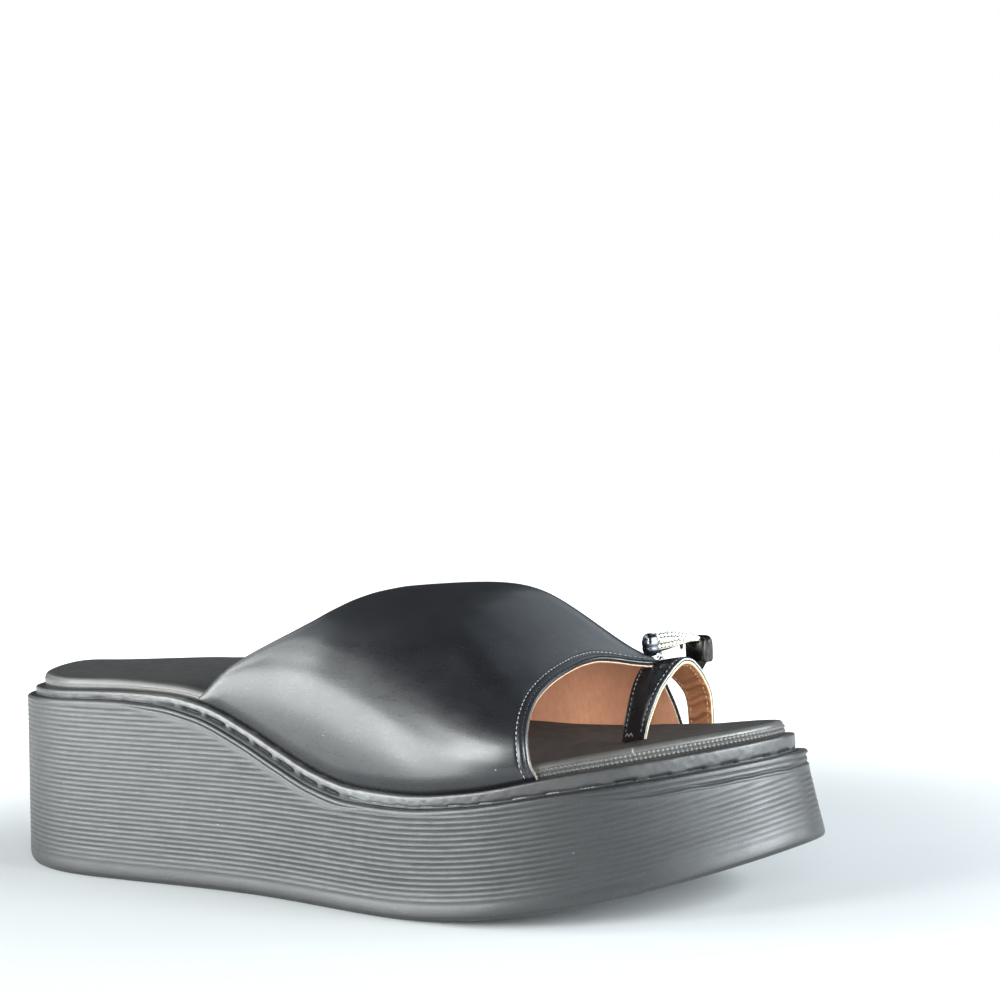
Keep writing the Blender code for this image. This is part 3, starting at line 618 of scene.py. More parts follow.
# --------------------------------------------------------------------- sole
def build_sole(material):
    rng = np.random.default_rng(11)
    n = 600
    turns = np.linspace(0, 2 * np.pi, n, endpoint=False)
    here, inward = ring_frame(turns)
    x = here[:, 0]
    taper = wall_taper(x)
    low = sole_bottom(x)
    edge = here + inward * taper[:, None]
    high = sole_top(*edge.T) - low
    arc = np.concatenate([[0], np.cumsum(np.linalg.norm(np.diff(here, axis=0), axis=1))])
    length = arc[-1] + np.linalg.norm(here[0] - here[-1])
    curve = SOLE_EDGE_ROUND + 2.5 * (1 - smooth(0, 18, x))
    slope = smooth(56, 84, x) * (1 - smooth(140, 158, x))
    toe = smooth(212, 238, x)
    band = 1.2 + 1.9 * slope + 3.3 * toe      # smooth strip under the top edge
    tip = smooth(226, 246, x)
    limit = high - band
    rows = []      # height over the tread, extra inset, number of the rib row or -1, painted shade
    for a in np.radians([0, 18, 36, 54, 72, 90]):
        rows.append((curve * (1 - np.cos(a)), curve * (1 - np.sin(a)), -1, np.zeros(n)))
    for f in (0.4, 0.8):
        rows.append((curve + (RIB_START - curve) * f, np.zeros(n), -1, np.zeros(n)))
    per = 4
    count = int(np.ceil((limit.max() - RIB_START) / RIB_PITCH * per)) + 1
    tone = [ripple(rng, ((41, 0.14), (17, 0.10), (7, 0.06)), length) for _ in range(count // per + 2)]
    for k in range(count + 1):
        h = np.minimum(RIB_START + k * RIB_PITCH / per, limit)
        phase = (h - RIB_START) / RIB_PITCH
        away = np.abs((phase + 0.5) % 1 - 0.5) * RIB_PITCH
        form = 0.62 * np.exp(-(away / 0.27) ** 2) + 0.38 * (0.5 + 0.5 * np.cos(2 * np.pi * phase))
        fade = (0.35 + 0.65 * smooth(0.0, 5.0, h - RIB_START)) * smooth(0.0, 0.5 + 1.8 * slope + 1.2 * toe, limit - h)
        fade = fade * (0.52 + 0.48 * smooth(75, 150, x)) * (1 - 0.35 * smooth(225, 250, x)) * (1 + tone[k // per](arc))
        rows.append((h, RIB_DEPTH * form * fade, k, form * fade))
    wave = ripple(rng, ((13, 0.3), (7, 0.2), (23, 0.35)), length)(arc)
    for u in (0.94, 0.86, 0.79, 0.73, 0.68, 0.63, 0.57, 0.49, 0.40, 0.33, 0.29, 0.25, 0.21, 0.17, 0.10):
        drop = SOLE_LIP + (band - SOLE_LIP) * u
        thin = (drop - SOLE_LIP - (band - SOLE_LIP) * 0.25) / (0.14 + 0.1 * toe)
        wide = (drop - SOLE_LIP - (band - SOLE_LIP) * (0.68 + 0.06 * wave)) / 0.34
        line = np.exp(-thin ** 2) * (0.28 * slope + 0.2 * toe)
        fold = np.exp(-wide ** 2) * tip * np.clip(0.62 + 0.35 * wave, 0.15, 1)
        swell = 0.2 * tip * np.exp(-((wide - 1.9) / 1.1) ** 2)
        # the lip's crease lines get painted shade as well
        rows.append((high - drop, line + 0.62 * fold - swell, -1, np.clip(line / 0.3 + 0.75 * fold, 0, 1)))
    near = np.hypot(here[:, 0] - 259.0, here[:, 1] - 19.5)
    burr = (0.9 + 0.5 * np.sin(2.6 * near + 0.8)) * np.exp(-(near / 2.6) ** 2)
    for a in np.radians([0, 22, 45, 68, 90]):
        rows.append((high - SOLE_LIP * (1 - np.sin(a)) + 0.25 * burr * np.sin(a), SOLE_LIP * (1 - np.cos(a)) - burr * np.cos(0.7 * a), -1, np.zeros(n)))
    points, index, shade_rows, total = [], [], [], 0
    last = None
    for h, extra, k, groove in rows:
        part = np.clip((h - SOLE_EDGE_ROUND) / (high - SOLE_LIP - SOLE_EDGE_ROUND), 0, 1)
        flat = here + inward * (taper * part + extra)[:, None]
        ring = np.column_stack([flat, low + h])
        stuck = np.zeros(n, bool)
        if k > 0:
            stuck = RIB_START + (k - 1) * RIB_PITCH / per >= limit
        number = np.empty(n, int)
        number[~stuck] = total + np.arange((~stuck).sum())
        if stuck.any():
            number[stuck] = last[stuck]
        points.append(ring[~stuck])
        shade_rows.append(groove[~stuck])
        total += int((~stuck).sum())
        index.append(number)
        last = number
    for extra, dip in ((1.7, 0.0), (2.2, 0.06), (2.7, 0.16), (6.0, 0.2)):
        flat = here + inward * (taper + extra)[:, None]
        points.append(np.column_stack([flat, sole_top(*flat.T) - dip]))
        # painted shade on the tread's top under the midsole
        shade_rows.append(np.full(n, 0.0 if extra < 2 else 0.5))
        index.append(total + np.arange(n))
        total += n
    faces = []
    for lower, upper in zip(index[:-1], index[1:]):
        a, b, c, d = lower, np.roll(lower, -1), np.roll(upper, -1), upper
        left, right = a == d, b == c
        whole = ~left & ~right
        faces += [tuple(q) for q in np.column_stack([a, b, c, d])[whole].tolist()]
        faces += [tuple(q) for q in np.column_stack([a, b, c])[left & ~right].tolist()]
        faces += [tuple(q) for q in np.column_stack([a, b, d])[right & ~left].tolist()]
    faces += [f[::-1] for f in ladder(n, 0)] + ladder(n, total - n)
    return make("platform_sole_look", np.vstack(points), faces, material, "sole_foam", ("platform_sole",), painted_shade=np.concatenate(shade_rows))


# ------------------------------------------------------------------ midsole
def build_midsole(material):
    rng = np.random.default_rng(23)
    n = 1400
    turns, length = even_turns(MIDSOLE_STEP, n)
    here, inward = ring_frame(turns)
    taper = wall_taper(here[:, 0]) + MIDSOLE_STEP
    arc = np.linspace(0, length, n, endpoint=False)
    long_wave = ripple(rng, ((31, 0.05), (19, 0.05), (11, 0.05)), length)
    crumple = [ripple(rng, ((6.3, 0.035), (3.7, 0.03), (2.4, 0.02)), length) for _ in range(3)]
    # stitches dive into slits; between them the groove is shallow, and it is only a crease behind the heel
    x = here[:, 0]
    count = int(round(length / WELT_PITCH))
    to_mid = np.abs((arc / length * count - 0.37 + 0.5) % 1 - 0.5) * length / count
    sewn = smooth(66, 84, x)
    steep = sewn * (1 - smooth(135, 160, x))
    tip = smooth(222, 240, x)
    rough = ripple(rng, ((2.9, 0.25), (1.7, 0.2), (4.3, 0.25)), length)(arc)
    half = WELT_SLIT / 2 + 0.9 * steep
    slit = (1 - smooth(half - 0.7, half + 0.5, to_mid + 0.8 * rough)) * sewn
    groove = 0.2 + 0.4 * sewn * (1 - 0.6 * tip)
    heel_dent_and_shade = np.clip(ripple(rng, ((5.1, 0.5), (2.3, 0.4), (11, 0.5)), length)(arc), 0, 1) * (1 - sewn)
    slit = slit * np.clip(0.78 + ripple(rng, ((23, 0.3), (8.7, 0.25)), length)(arc), 0.3 + 0.5 * steep, 1)
    gape = 1 + 1.3 * steep
    rings, shade_rows = [], []
    # inset, part of the height, how far a slit deepens and raises it, painted shade
    for extra, part, cut, lift, dark in (
            (-1.6, 0.00, 0.0, 0.0, 0.0), (-1.5, 0.03, 0.0, 0.0, 0.0), (-0.9, 0.05, 0.0, 0.0, 0.05), (-0.2, 0.06, 0.0, 0.0, 0.3),
            (0.40, 0.06, 0.85, 0.0, 1.0), (0.37, 0.10, 0.80, 0.01, 1.0), (0.27, 0.15, 0.45, 0.02, 0.7),
            (0.12, 0.21, 0.12, 0.03, 0.18), (0.04, 0.28, 0.04, 0.02, 0.0), (0.01, 0.36, 0.0, 0.01, 0.0), (0.0, 0.46, 0.0, 0.0, 0.0),
            (0.0, 0.58, 0.0, 0.0, 0.0), (0.0, 0.70, 0.0, 0.0, 0.0), (0.02, 0.81, 0.0, 0.0, 0.0), (0.07, 0.90, 0.0, 0.0, 0.0),
            (0.20, 0.97, 0.0, 0.0, 0.0), (0.5, 1.0, 0.0, 0.0, 0.1), (3.6, 1.0, 0.0, 0.0, 1.0)):
        body = smooth(0.22, 0.4, part) * (1 - smooth(0.95, 1.0, part))
        mixed = sum(crumple[k](arc + (k - 1) * 2.2 * part) * np.clip(1 - abs(part * 3.2 - 1.0 - 0.7 * k), 0, 1) for k in range(3))
        bold = steep * np.interp(part, (0.10, 0.20, 0.28, 0.36, 0.46), (0.0, 0.6, 0.55, 0.25, 0.0))
        reach = 0.1 + 0.9 * steep if extra < 0 else groove if part < 0.3 else 1.0
        hollow = extra * reach + 0.07 * heel_dent_and_shade * np.exp(-((part - 0.25) / 0.14) ** 2)
        flat = here + inward * (taper + hollow + np.minimum(cut * gape + bold, 0.95) * slit * (0.5 + 0.5 * np.maximum(steep, tip)) + body * (0.5 * long_wave(arc) + (0.25 + 0.55 * sewn) * mixed))[:, None]
        z = sole_top(*flat.T) + 0.06 + (mid_thick(flat[:, 0]) + GAP - 0.06) * (part + lift * gape * slit)
        rings.append(np.column_stack([flat, z]))
        # painted shade in the slits, the groove and the uneven crease behind the heel
        shade = 0.06 + 0.05 * steep + 0.04 * sewn + 0.75 * slit * (0.3 + 0.7 * np.maximum(steep, 0.85 * tip))
        shade_rows.append(np.clip(dark * (1 + 0.3 * steep) * shade + 1.3 * bold * slit + (0.24 + 0.6 * heel_dent_and_shade) * (1 - sewn) * np.exp(-((part - 0.06) / 0.15) ** 2), 0, 1))
    faces = grid_faces(len(rings), n, closed=True) + [f[::-1] for f in ladder(n, 0)] + ladder(n, (len(rings) - 1) * n)
    return make("midsole_look", np.vstack(rings), faces, material, "midsole_wrap", ("midsole",), painted_shade=np.concatenate(shade_rows))


def build_welt_thread(material, shaded_material):
    """Two-ply thread in the groove between sole and midsole, seen as dashes."""
    rng = np.random.default_rng(5)
    _, length = even_turns(MIDSOLE_STEP + 0.8, 10)
    count = int(round(length / WELT_PITCH))
    steps, sides = 18, 6
    parts, shaded = [], []
    per = length / count
    fine, _ = even_turns(MIDSOLE_STEP + 0.8, 4000)
    turn = np.linspace(0, 2 * np.pi, sides, endpoint=False)
    for k in range(count):
        span = WELT_SLIT * rng.uniform(0.74, 0.95)
        t = np.linspace(-0.5, 0.5, steps)
        arc = (k + 0.37 + rng.uniform(-0.03, 0.03)) * per + t * span
        turns = np.interp(np.mod(arc, length), np.linspace(0, length, 4000, endpoint=False), fine)
        here, inward = ring_frame(turns)
        if here[:, 0].mean() < 74:
            continue
        bow = 0.4 * (2 * np.abs(t)) ** 6
        hidden = np.maximum(1 - smooth(135, 160, here[:, 0]), smooth(222, 240, here[:, 0]))
        inset = wall_taper(here[:, 0]) + MIDSOLE_STEP + 0.48 + 0.28 * hidden + bow
        flat = here + inward * inset[:, None]
        core = np.column_stack([flat, sole_top(*flat.T) + 0.40 - 0.15 * bow])
        out = np.column_stack([-inward, np.zeros(steps)])
        up = np.array([0.0, 0.0, 1.0]) * np.ones((steps, 1))
        for ply in range(3):
            twist = 2 * np.pi * t * span / rng.uniform(1.9, 3.0) + ply * 2.1 + rng.uniform(0, 0.6)
            mid = core + rng.uniform(0.12, 0.2) * (np.cos(twist)[:, None] * out + np.sin(twist)[:, None] * up)
            wide = rng.uniform(0.15, 0.21) * np.sqrt(np.maximum(0.03, 1 - (2 * np.abs(t)) ** 6)) * (1 + 0.14 * rng.standard_normal(steps))
            ring = mid[:, None] + wide[:, None, None] * (np.cos(turn)[:, None] * out[:, None] + np.sin(turn)[:, None] * up[:, None])
            faces = grid_faces(steps, sides, closed=True)
            faces += [tuple(range(sides))[::-1], tuple((steps - 1) * sides + i for i in range(sides))]
            # threads in the arch and at the toe take a darker copy of the thread's colour: painted shade
            (shaded if hidden.mean() > 0.5 and (k % 3 or here[0, 0] < 200) else parts).append((ring.reshape(-1, 3), faces))
    make("welt_thread_shaded", *join(shaded), shaded_material, "midsole_wrap")
    return make("welt_thread", *join(parts), material, "midsole_wrap")


# ------------------------------------------------------------------ footbed
BED_SIDE = [
    # part of the roll, part of the rise
    (0.10, 0.0), (0.02, 0.13), (0.0, 0.36), (0.03, 0.6), (0.15, 0.8), (0.42, 0.945), (1.0, 1.0),
]


def bed_side(count, low=0.0, high=1.0):
    """Points of the footbed's side profile, evenly spaced between two shares of its run."""
    knots = np.array(BED_SIDE)
    far = np.concatenate([[0], np.cumsum(np.linalg.norm(np.diff(knots * (FOOTBED_ROLL, 4.0), axis=0), axis=1))])
    far /= far[-1]
    at = np.linspace(low, high, count)
    return np.column_stack([through(far, knots[:, 0])(at), through(far, knots[:, 1])(at)])


def bed_ring(turns, here, inward, extra, part, push=0.0):
    """Ring of the footbed's side. extra is a share of the roll, part a share of the rise, push is outward."""
    medial = (np.sin(turns) < 0) * np.abs(np.sin(turns)) ** 0.5
    inset = wall_taper(here[:, 0]) + MIDSOLE_STEP + FOOTBED_STEP + FOOTBED_ROLL * extra
    flat = here + inward * inset[:, None]
    rim = HEEL_RIM * np.exp(-(((turns + np.pi) % (2 * np.pi) - np.pi + 0.08) / 0.26) ** 2)
    base, top = mid_top(*flat.T) + GAP, bed_ridge(*flat.T, medial) + rim
    shown = flat - inward * np.reshape(push * np.ones(len(turns)), (-1, 1))
    return np.column_stack([shown, base + (top - base) * part])


def build_footbed(material, side_material):
    n, across = 560, 40
    turns = np.linspace(0, 2 * np.pi, n, endpoint=False)
    here, inward = ring_frame(turns)
    rings = [bed_ring(turns, here, inward, e, p) for e, p in bed_side(15)]
    rings[0][:, 2] -= GAP
    points = [np.vstack(rings)]
    faces = grid_faces(len(rings), n, closed=True) + [f[::-1] for f in ladder(n, 0)]
    side_count = len(faces)
    start, ring = (len(rings) - 1) * n, rings[-1]
    share = np.linspace(0, 1, across + 1)[1:-1]
    i = np.arange(1, n // 2)
    a, b = ring[i], ring[n - i]
    inner = a[:, None] + (b - a)[:, None] * share[None, :, None]
    depth = cup_depth(a[:, 0]) * np.minimum(1.0, np.sin(turns[i]) * 1.5)
    inner[..., 2] -= depth[:, None] * cup_form(share)[None]
    base = len(points[0])
    points.append(inner.reshape(-1, 3))
    rows = [np.full(across + 1, start)]
    for k, number in enumerate(i):
        rows.append(np.concatenate([[start + number], base + k * (across - 1) + np.arange(across - 1), [start + n - number]]))
    rows.append(np.full(across + 1, start + n // 2))
    for first, second in zip(rows[:-1], rows[1:]):
        for k in range(across):
            quad = [int(first[k]), int(second[k]), int(second[k + 1]), int(first[k + 1])]
            faces.append(tuple(v for j, v in enumerate(quad) if v not in quad[:j]))
    bed = make("footbed_look", np.vstack(points), faces, side_material, "footbed_cover", ("footbed",), top=(material, side_count),
               painted_shade=np.zeros(sum(len(p) for p in points)))
    return bed


def build_bead_band(material):
    """Beaded lower band of the footbed's side, in slanted rows."""
    _, length = even_turns(MIDSOLE_STEP + FOOTBED_STEP, 10)
    beads = int(round(length / BEAD_PITCH))
    n = beads * 6
    turns, length = even_turns(MIDSOLE_STEP + FOOTBED_STEP, n)
    here, inward = ring_frame(turns)
    step = np.arange(n) / 6.0
    strong = 0.14 + 0.86 * smooth(70, 150, here[:, 0])
    tiers = np.linspace(0, 2, 17)
    shape = bed_side(len(tiers), 0.02, 0.50)
    rings, shade_rows = [], []
    for k, (e, p) in enumerate(shape):
        q = tiers[k]
        level = (1.0, 0.8)[min(int(q), 1)]
        form = np.sqrt(np.maximum(0, np.sin(np.pi * q) ** 2)) * np.abs(np.cos(np.pi * (step + 0.34 * q))) ** 0.8
        end = 0.0 if k in (0, len(tiers) - 1) else 1.0
        push = end * (0.03 + BEAD_DEPTH * level * strong * form) - 0.05 * (1 - end)
        rings.append(bed_ring(turns, here, inward, e, p, push=push))
        # painted shade in the gaps between the beads, weaker towards the heel
        shade_rows.append(level * strong * (1 - form) * (1 - smooth(1.5, 2.0, q)))
    return make("footbed_bead_band", np.vstack(rings), grid_faces(len(tiers), n, closed=True), material, "footbed_cover",
                painted_shade=np.concatenate(shade_rows))


def build_bed_seam(material):
    """Joint of the wrap round the footbed's edge: a narrow raised line up its side."""
    shape = bed_side(15, 0.40, 0.92)
    middle, wide, rings = 2.474, 0.0032, []
    for k, (e, p) in enumerate(shape):
        turns = middle + 0.0012 * np.sin(0.9 * k) + wide * np.array([-1, -0.6, -0.2, 0.2, 0.6, 1])
        here, inward = ring_frame(turns)
        lift = np.array([-0.05, 0.12, 0.2, 0.2, 0.12, -0.05]) * (0.2 if k in (0, 14) else 1.0)
        rings.append(bed_ring(turns, here, inward, e, p, push=lift))
    return make("footbed_seam", np.vstack(rings), grid_faces(len(shape), 6), material, "footbed_cover")


# --------------------------------------------------------------------- vamp
def upper_section(x, count=160):
    """Outer section at a station: (n, 2) of y and z, evenly spaced along the leather."""
    inset = MIDSOLE_STEP + UPPER_SET
    out = []
    for side, full in ((-1, full_lat(x)), (1, full_med(x))):
        y0 = outline_at(x, side, inset)
        foot = mid_top(x, y0) + GAP
        t = np.linspace(0, np.pi / 2, count)
        y = crest_y(x) + (y0 - crest_y(x)) * np.cos(t) ** (2 / full)
        z = foot + (crest_z(x) - foot) * np.sin(t) ** (2 / full)
        line = np.column_stack([y, z])
        far = np.concatenate([[0], np.cumsum(np.linalg.norm(np.diff(line, axis=0), axis=1))])
        even = np.linspace(0, far[-1], count)
        line = np.column_stack([np.interp(even, far, line[:, 0]), np.interp(even, far, line[:, 1])])
        out.append(line if side < 0 else line[::-1])
    return np.vstack([out[0], out[1][1:]])


def soften(table, sigma, axis):
    """Gaussian smoothing along an axis, straight on past its ends."""
    table = np.moveaxis(table, axis, 0)
    reach = int(4 * sigma)
    before = 2 * table[:1] - table[1:reach + 1][::-1]
    after = 2 * table[-1:] - table[-reach - 1:-1][::-1]
    long = np.concatenate([before, table, after])
    weight = np.exp(-0.5 * (np.arange(-reach, reach + 1) / sigma) ** 2)
    weight /= weight.sum()
    out = sum(w * long[k:k + len(table)] for k, w in enumerate(weight))
    return np.moveaxis(out, 0, axis)


SECTION_X = np.arange(84.0, 216.01, 0.75)
SECTIONS = soften(soften(np.array([upper_section(x) for x in SECTION_X]), 3.5, 0), 3.0, 1)


def upper_point(stations, across):
    stations, across = np.broadcast_arrays(np.asarray(stations, float), np.asarray(across, float))
    n = SECTIONS.shape[1]
    i = np.clip((stations - SECTION_X[0]) / (SECTION_X[1] - SECTION_X[0]), 0, len(SECTION_X) - 1.001)
    j = np.clip(across * (n - 1), 0, n - 1.001)
    i0, j0 = i.astype(int), j.astype(int)
    a, b = (i - i0)[..., None], (j - j0)[..., None]
    yz = ((1 - a) * (1 - b) * SECTIONS[i0, j0] + a * (1 - b) * SECTIONS[i0 + 1, j0]
          + (1 - a) * b * SECTIONS[i0, j0 + 1] + a * b * SECTIONS[i0 + 1, j0 + 1])
    return np.concatenate([stations[..., None], yz], axis=-1)


def upper_normal(stations, across):
    """Outward unit normal of the upper."""
    by_x = upper_point(stations + 0.8, across) - upper_point(stations - 0.8, across)
    by_u = upper_point(stations, np.clip(across + 4e-3, 0, 1)) - upper_point(stations, np.clip(across - 4e-3, 0, 1))
    normal = unit(np.cross(by_u, by_x))
    inside = np.sum(normal * (np.array([150.0, 0.0, 45.0]) - upper_point(stations, across)), axis=-1, keepdims=True)
    return np.where(inside > 0, -normal, normal)


def distance_to(points, line):
    """Distance of each grid point to a polyline's points, finely resampled."""
    index = np.linspace(0, len(line) - 1, 1200)
    fine = lerp_rows(line, index)
    flat = points.reshape(-1, 3)
    out = np.empty(len(flat))
    for k in range(0, len(flat), 4000):
        out[k:k + 4000] = np.sqrt(((flat[k:k + 4000, None] - fine[None]) ** 2).sum(-1)).min(1)
    return out.reshape(points.shape[:-1])


class Vamp:
    """Outer face of the vamp as a grid: rows across the foot, columns from collar to front."""

    ROWS = 241
    NEAR_FRONT = (5.2, 4.4, 3.8, 3.35, 3.0, 2.75, 2.5, 2.2, 1.9, 1.6, 1.35, 1.1, 0.85, 0.6, 0.4, 0.22, 0.1, 0.0)
    NEAR_COLLAR = (0.0, 0.5, 1.1, 1.8, 2.6, 3.5)

    def __init__(self):
        rng = np.random.default_rng(3)
        even = np.linspace(0, 1, self.ROWS)
        self.share = share = even - 0.6 * np.sin(2 * np.pi * even) / (2 * np.pi)
        collar, front = collar_x(share) + 0.95, front_x(share)
        first, last = collar + self.NEAR_COLLAR[-1], front - self.NEAR_FRONT[0]
        cols = [collar + d for d in self.NEAR_COLLAR]
        cols += [first + (last - first) * f for f in np.linspace(0, 1, 86)[1:-1]]
        cols += [front - d for d in self.NEAR_FRONT]
        self.station = np.stack(cols, axis=1)
        self.across = np.repeat(share[:, None], self.station.shape[1], axis=1)
        base = upper_point(self.station, self.across)
        self.normal = upper_normal(self.station, self.across)
        self.base = base
        self.from_front = distance_to(base, base[:, -1])
        self.from_collar = distance_to(base, base[:, 0])
        run = np.concatenate([np.zeros((1, base.shape[1])), np.cumsum(np.linalg.norm(np.diff(base, axis=0), axis=2), axis=0)])
        self.from_feather = np.minimum(run, run[-1:] - run)
        d, s, c = self.from_front, self.from_feather, self.from_collar
        push = -0.6 * np.clip(1 - s / 5.0, 0, 1) ** 2 - 0.75 * np.clip(1 - s / 1.5, 0, 1) ** 2
        push += -0.15 * np.exp(-((d - 2.75) / 0.34) ** 2) - 0.11 * np.exp(-((d - 1.1) / 0.26) ** 2)
        push += 0.10 * np.exp(-((d - 1.95) / 0.5) ** 2) - 0.30 * np.clip(1 - d / 0.5, 0, 1) ** 2
        push += (-0.55 * np.clip(1 - c / 4.5, 0, 1) ** 2 - 0.25 * np.clip(1 - c / 1.6, 0, 1) ** 2) * smooth(0, 5, s)
        x, u = base[..., 0], run
        for wave, height in ((61, 0.07), (37, 0.02), (19, 0.005), (11, 0.003)):
            a = rng.uniform(0, np.pi)
            push += height * np.sin(2 * np.pi * (np.cos(a) * x + np.sin(a) * u) / wave + rng.uniform(0, 6.28)) * smooth(0, 8, d)
        self.outer = base + self.normal * push[..., None]

    def line(self, away):
        """Curve on the outer face at a distance from the front edge, with normals: one point a row."""
        here, up = [], []
        for k in range(self.ROWS):
            d = self.from_front[k]
            start = int(np.argmin(d))
            col = np.interp(away, d[start::-1][:40], np.arange(start, -1, -1)[:40])
            i = min(int(col), len(d) - 2)
            f = col - i
            here.append(self.outer[k, i] * (1 - f) + self.outer[k, i + 1] * f)
            up.append(self.normal[k, i] * (1 - f) + self.normal[k, i + 1] * f)
        return np.array(here), unit(np.array(up))


def build_vamp(vamp, leather, lining, edges):
    rows, cols = vamp.station.shape
    make("vamp_leather", vamp.outer.reshape(-1, 3), grid_faces(rows, cols), leather, "upper_leather", ("upper",))
    # lining, inside face
    share = vamp.share
    run = np.linspace(0, 1, 70)
    station = (collar_x(share) + 0.9)[:, None] + ((front_x(share) - 0.1) - collar_x(share) - 0.9)[:, None] * run
    across = np.repeat(share[:, None], len(run), axis=1)
    inner = upper_point(station, across) - upper_normal(station, across) * UPPER_WALL
    make("vamp_lining", inner.reshape(-1, 3), grid_faces(rows, len(run)), lining, "upper_leather")
    # folded collar
    edge_at = collar_x(share) + 0.95
    middle = upper_point(edge_at, share)
    normal = upper_normal(edge_at, share)
    inward = upper_point(edge_at + 1.0, share) - middle
    back = unit(-(inward - normal * np.sum(inward * normal, axis=1, keepdims=True)))
    rings = []
    half = UPPER_WALL / 2 + 0.06
    top = vamp.outer[:, 0]
    centre = top - normal * half
    for a in np.linspace(0, np.pi, 11):
        rings.append(centre + normal * (half * np.cos(a)) + back * (0.92 * np.sin(a)))
    for away in (1.2, 2.6, 4.2, 4.6):
        at = edge_at + away
        under = UPPER_WALL + (0.12 if away < 4.5 else -0.1)
        rings.append(upper_point(at, share) - upper_normal(at, share) * under)
    make("vamp_collar_fold", np.stack(rings, axis=1).reshape(-1, 3), grid_faces(rows, len(rings)), edges[1], "upper_leather")
    # cut front edge: leather, cement line, lining
    rim = vamp.base[:, -1]
    normal = vamp.normal[:, -1]
    along = unit(np.gradient(rim, axis=0))
    out = unit(np.cross(along, normal))
    out *= np.sign(np.sum(out * (rim - vamp.base[:, -6]), axis=1))[:, None]
    for name, paint, shape in (
            ("vamp_edge_leather", leather, ((0.28, 0.0), (0.36, 0.10), (0.55, 0.22), (0.8, 0.24), (1.0, 0.14), (1.1, -0.04))),
            ("vamp_edge_line", edges[1], ((1.10, -0.04), (1.14, -0.28), (1.42, -0.30), (1.48, -0.06))),
            ("vamp_edge_lining", edges[3], ((1.48, -0.06), (1.54, 0.02), (1.66, 0.04), (1.82, 0.0), (1.92, -0.12)))):
        strip = np.stack([rim - normal * t + out * o for t, o in shape], axis=1)
        make(name, strip.reshape(-1, 3), grid_faces(rows, len(shape)), paint, "upper_leather")


def stitch_line(name, line, up, pitch, length, radius, material, lift=0.1, skip=None):
    index = spaced(line, pitch)
    here, normal = lerp_rows(line, index), unit(lerp_rows(up, index))
    along = lerp_rows(np.gradient(line, axis=0), index)
    if skip is not None:
        keep = ~skip(here)
        here, normal, along = here[keep], normal[keep], along[keep]
    return make(name, *capsules(here + normal * lift, along, normal, length, radius), material, "upper_leather")


# ---------------------------------------------------------------- toe strap
def loop_path(share):
    """Middle line of the toe loop's strap and its outward normal, in y and z."""
    inset = MIDSOLE_STEP + UPPER_SET
    far_y = outline_at(213.8, 1, inset) - LOOP_WALL / 2 + 0.15
    far_z = mid_top(213.8, far_y) + GAP + 0.2
    near_z = bed_surface(210.1, LOOP_NEAR_Y + LOOP_WALL / 2) + GAP + 0.3
    knots = np.array([(LOOP_NEAR_Y, near_z)] + LOOP_ARCH + [(far_y, far_z)])
    chord = np.concatenate([[0], np.cumsum(np.linalg.norm(np.diff(knots, axis=0), axis=1))])
    even = np.linspace(0, chord[-1], 400)
    line = np.column_stack([through(chord, knots[:, 0])(even), through(chord, knots[:, 1])(even)])
    line = soften(line, 5.0, 0)
    far = np.concatenate([[0], np.cumsum(np.linalg.norm(np.diff(line, axis=0), axis=1))])
    total = far[-1]
    far = far / total

    def at(s):
        return np.column_stack([np.interp(s, far, line[:, 0]), np.interp(s, far, line[:, 1])])

    share = np.atleast_1d(share)
    here = at(share)
    step = at(np.clip(share + 0.01, 0, 1)) - at(np.clip(share - 0.01, 0, 1))
    step = unit(step)
    # past the ends the strap goes straight on
    over = np.where(share < 0, share, np.where(share > 1, share - 1, 0.0)) * total
    return here + step * over[:, None], np.column_stack([-step[:, 1], step[:, 0]])


def strap_point(share, side, high):
    """Point of the strap: share along it, side as a share of the half width, height over the middle line."""
    share, side, high = np.broadcast_arrays(np.asarray(share, float), np.asarray(side, float), np.asarray(high, float))
    here, out = loop_path(share.ravel())
    s = np.clip(share.ravel(), 0, 1)
    off = side.ravel() * loop_half(s)
    points = np.column_stack([loop_x(s) + off,
                              here[:, 0] + out[:, 0] * high.ravel() + loop_skew(s) * off,
                              here[:, 1] + out[:, 1] * high.ravel() + loop_climb(s) * off])
    return points.reshape(*share.shape, 3)


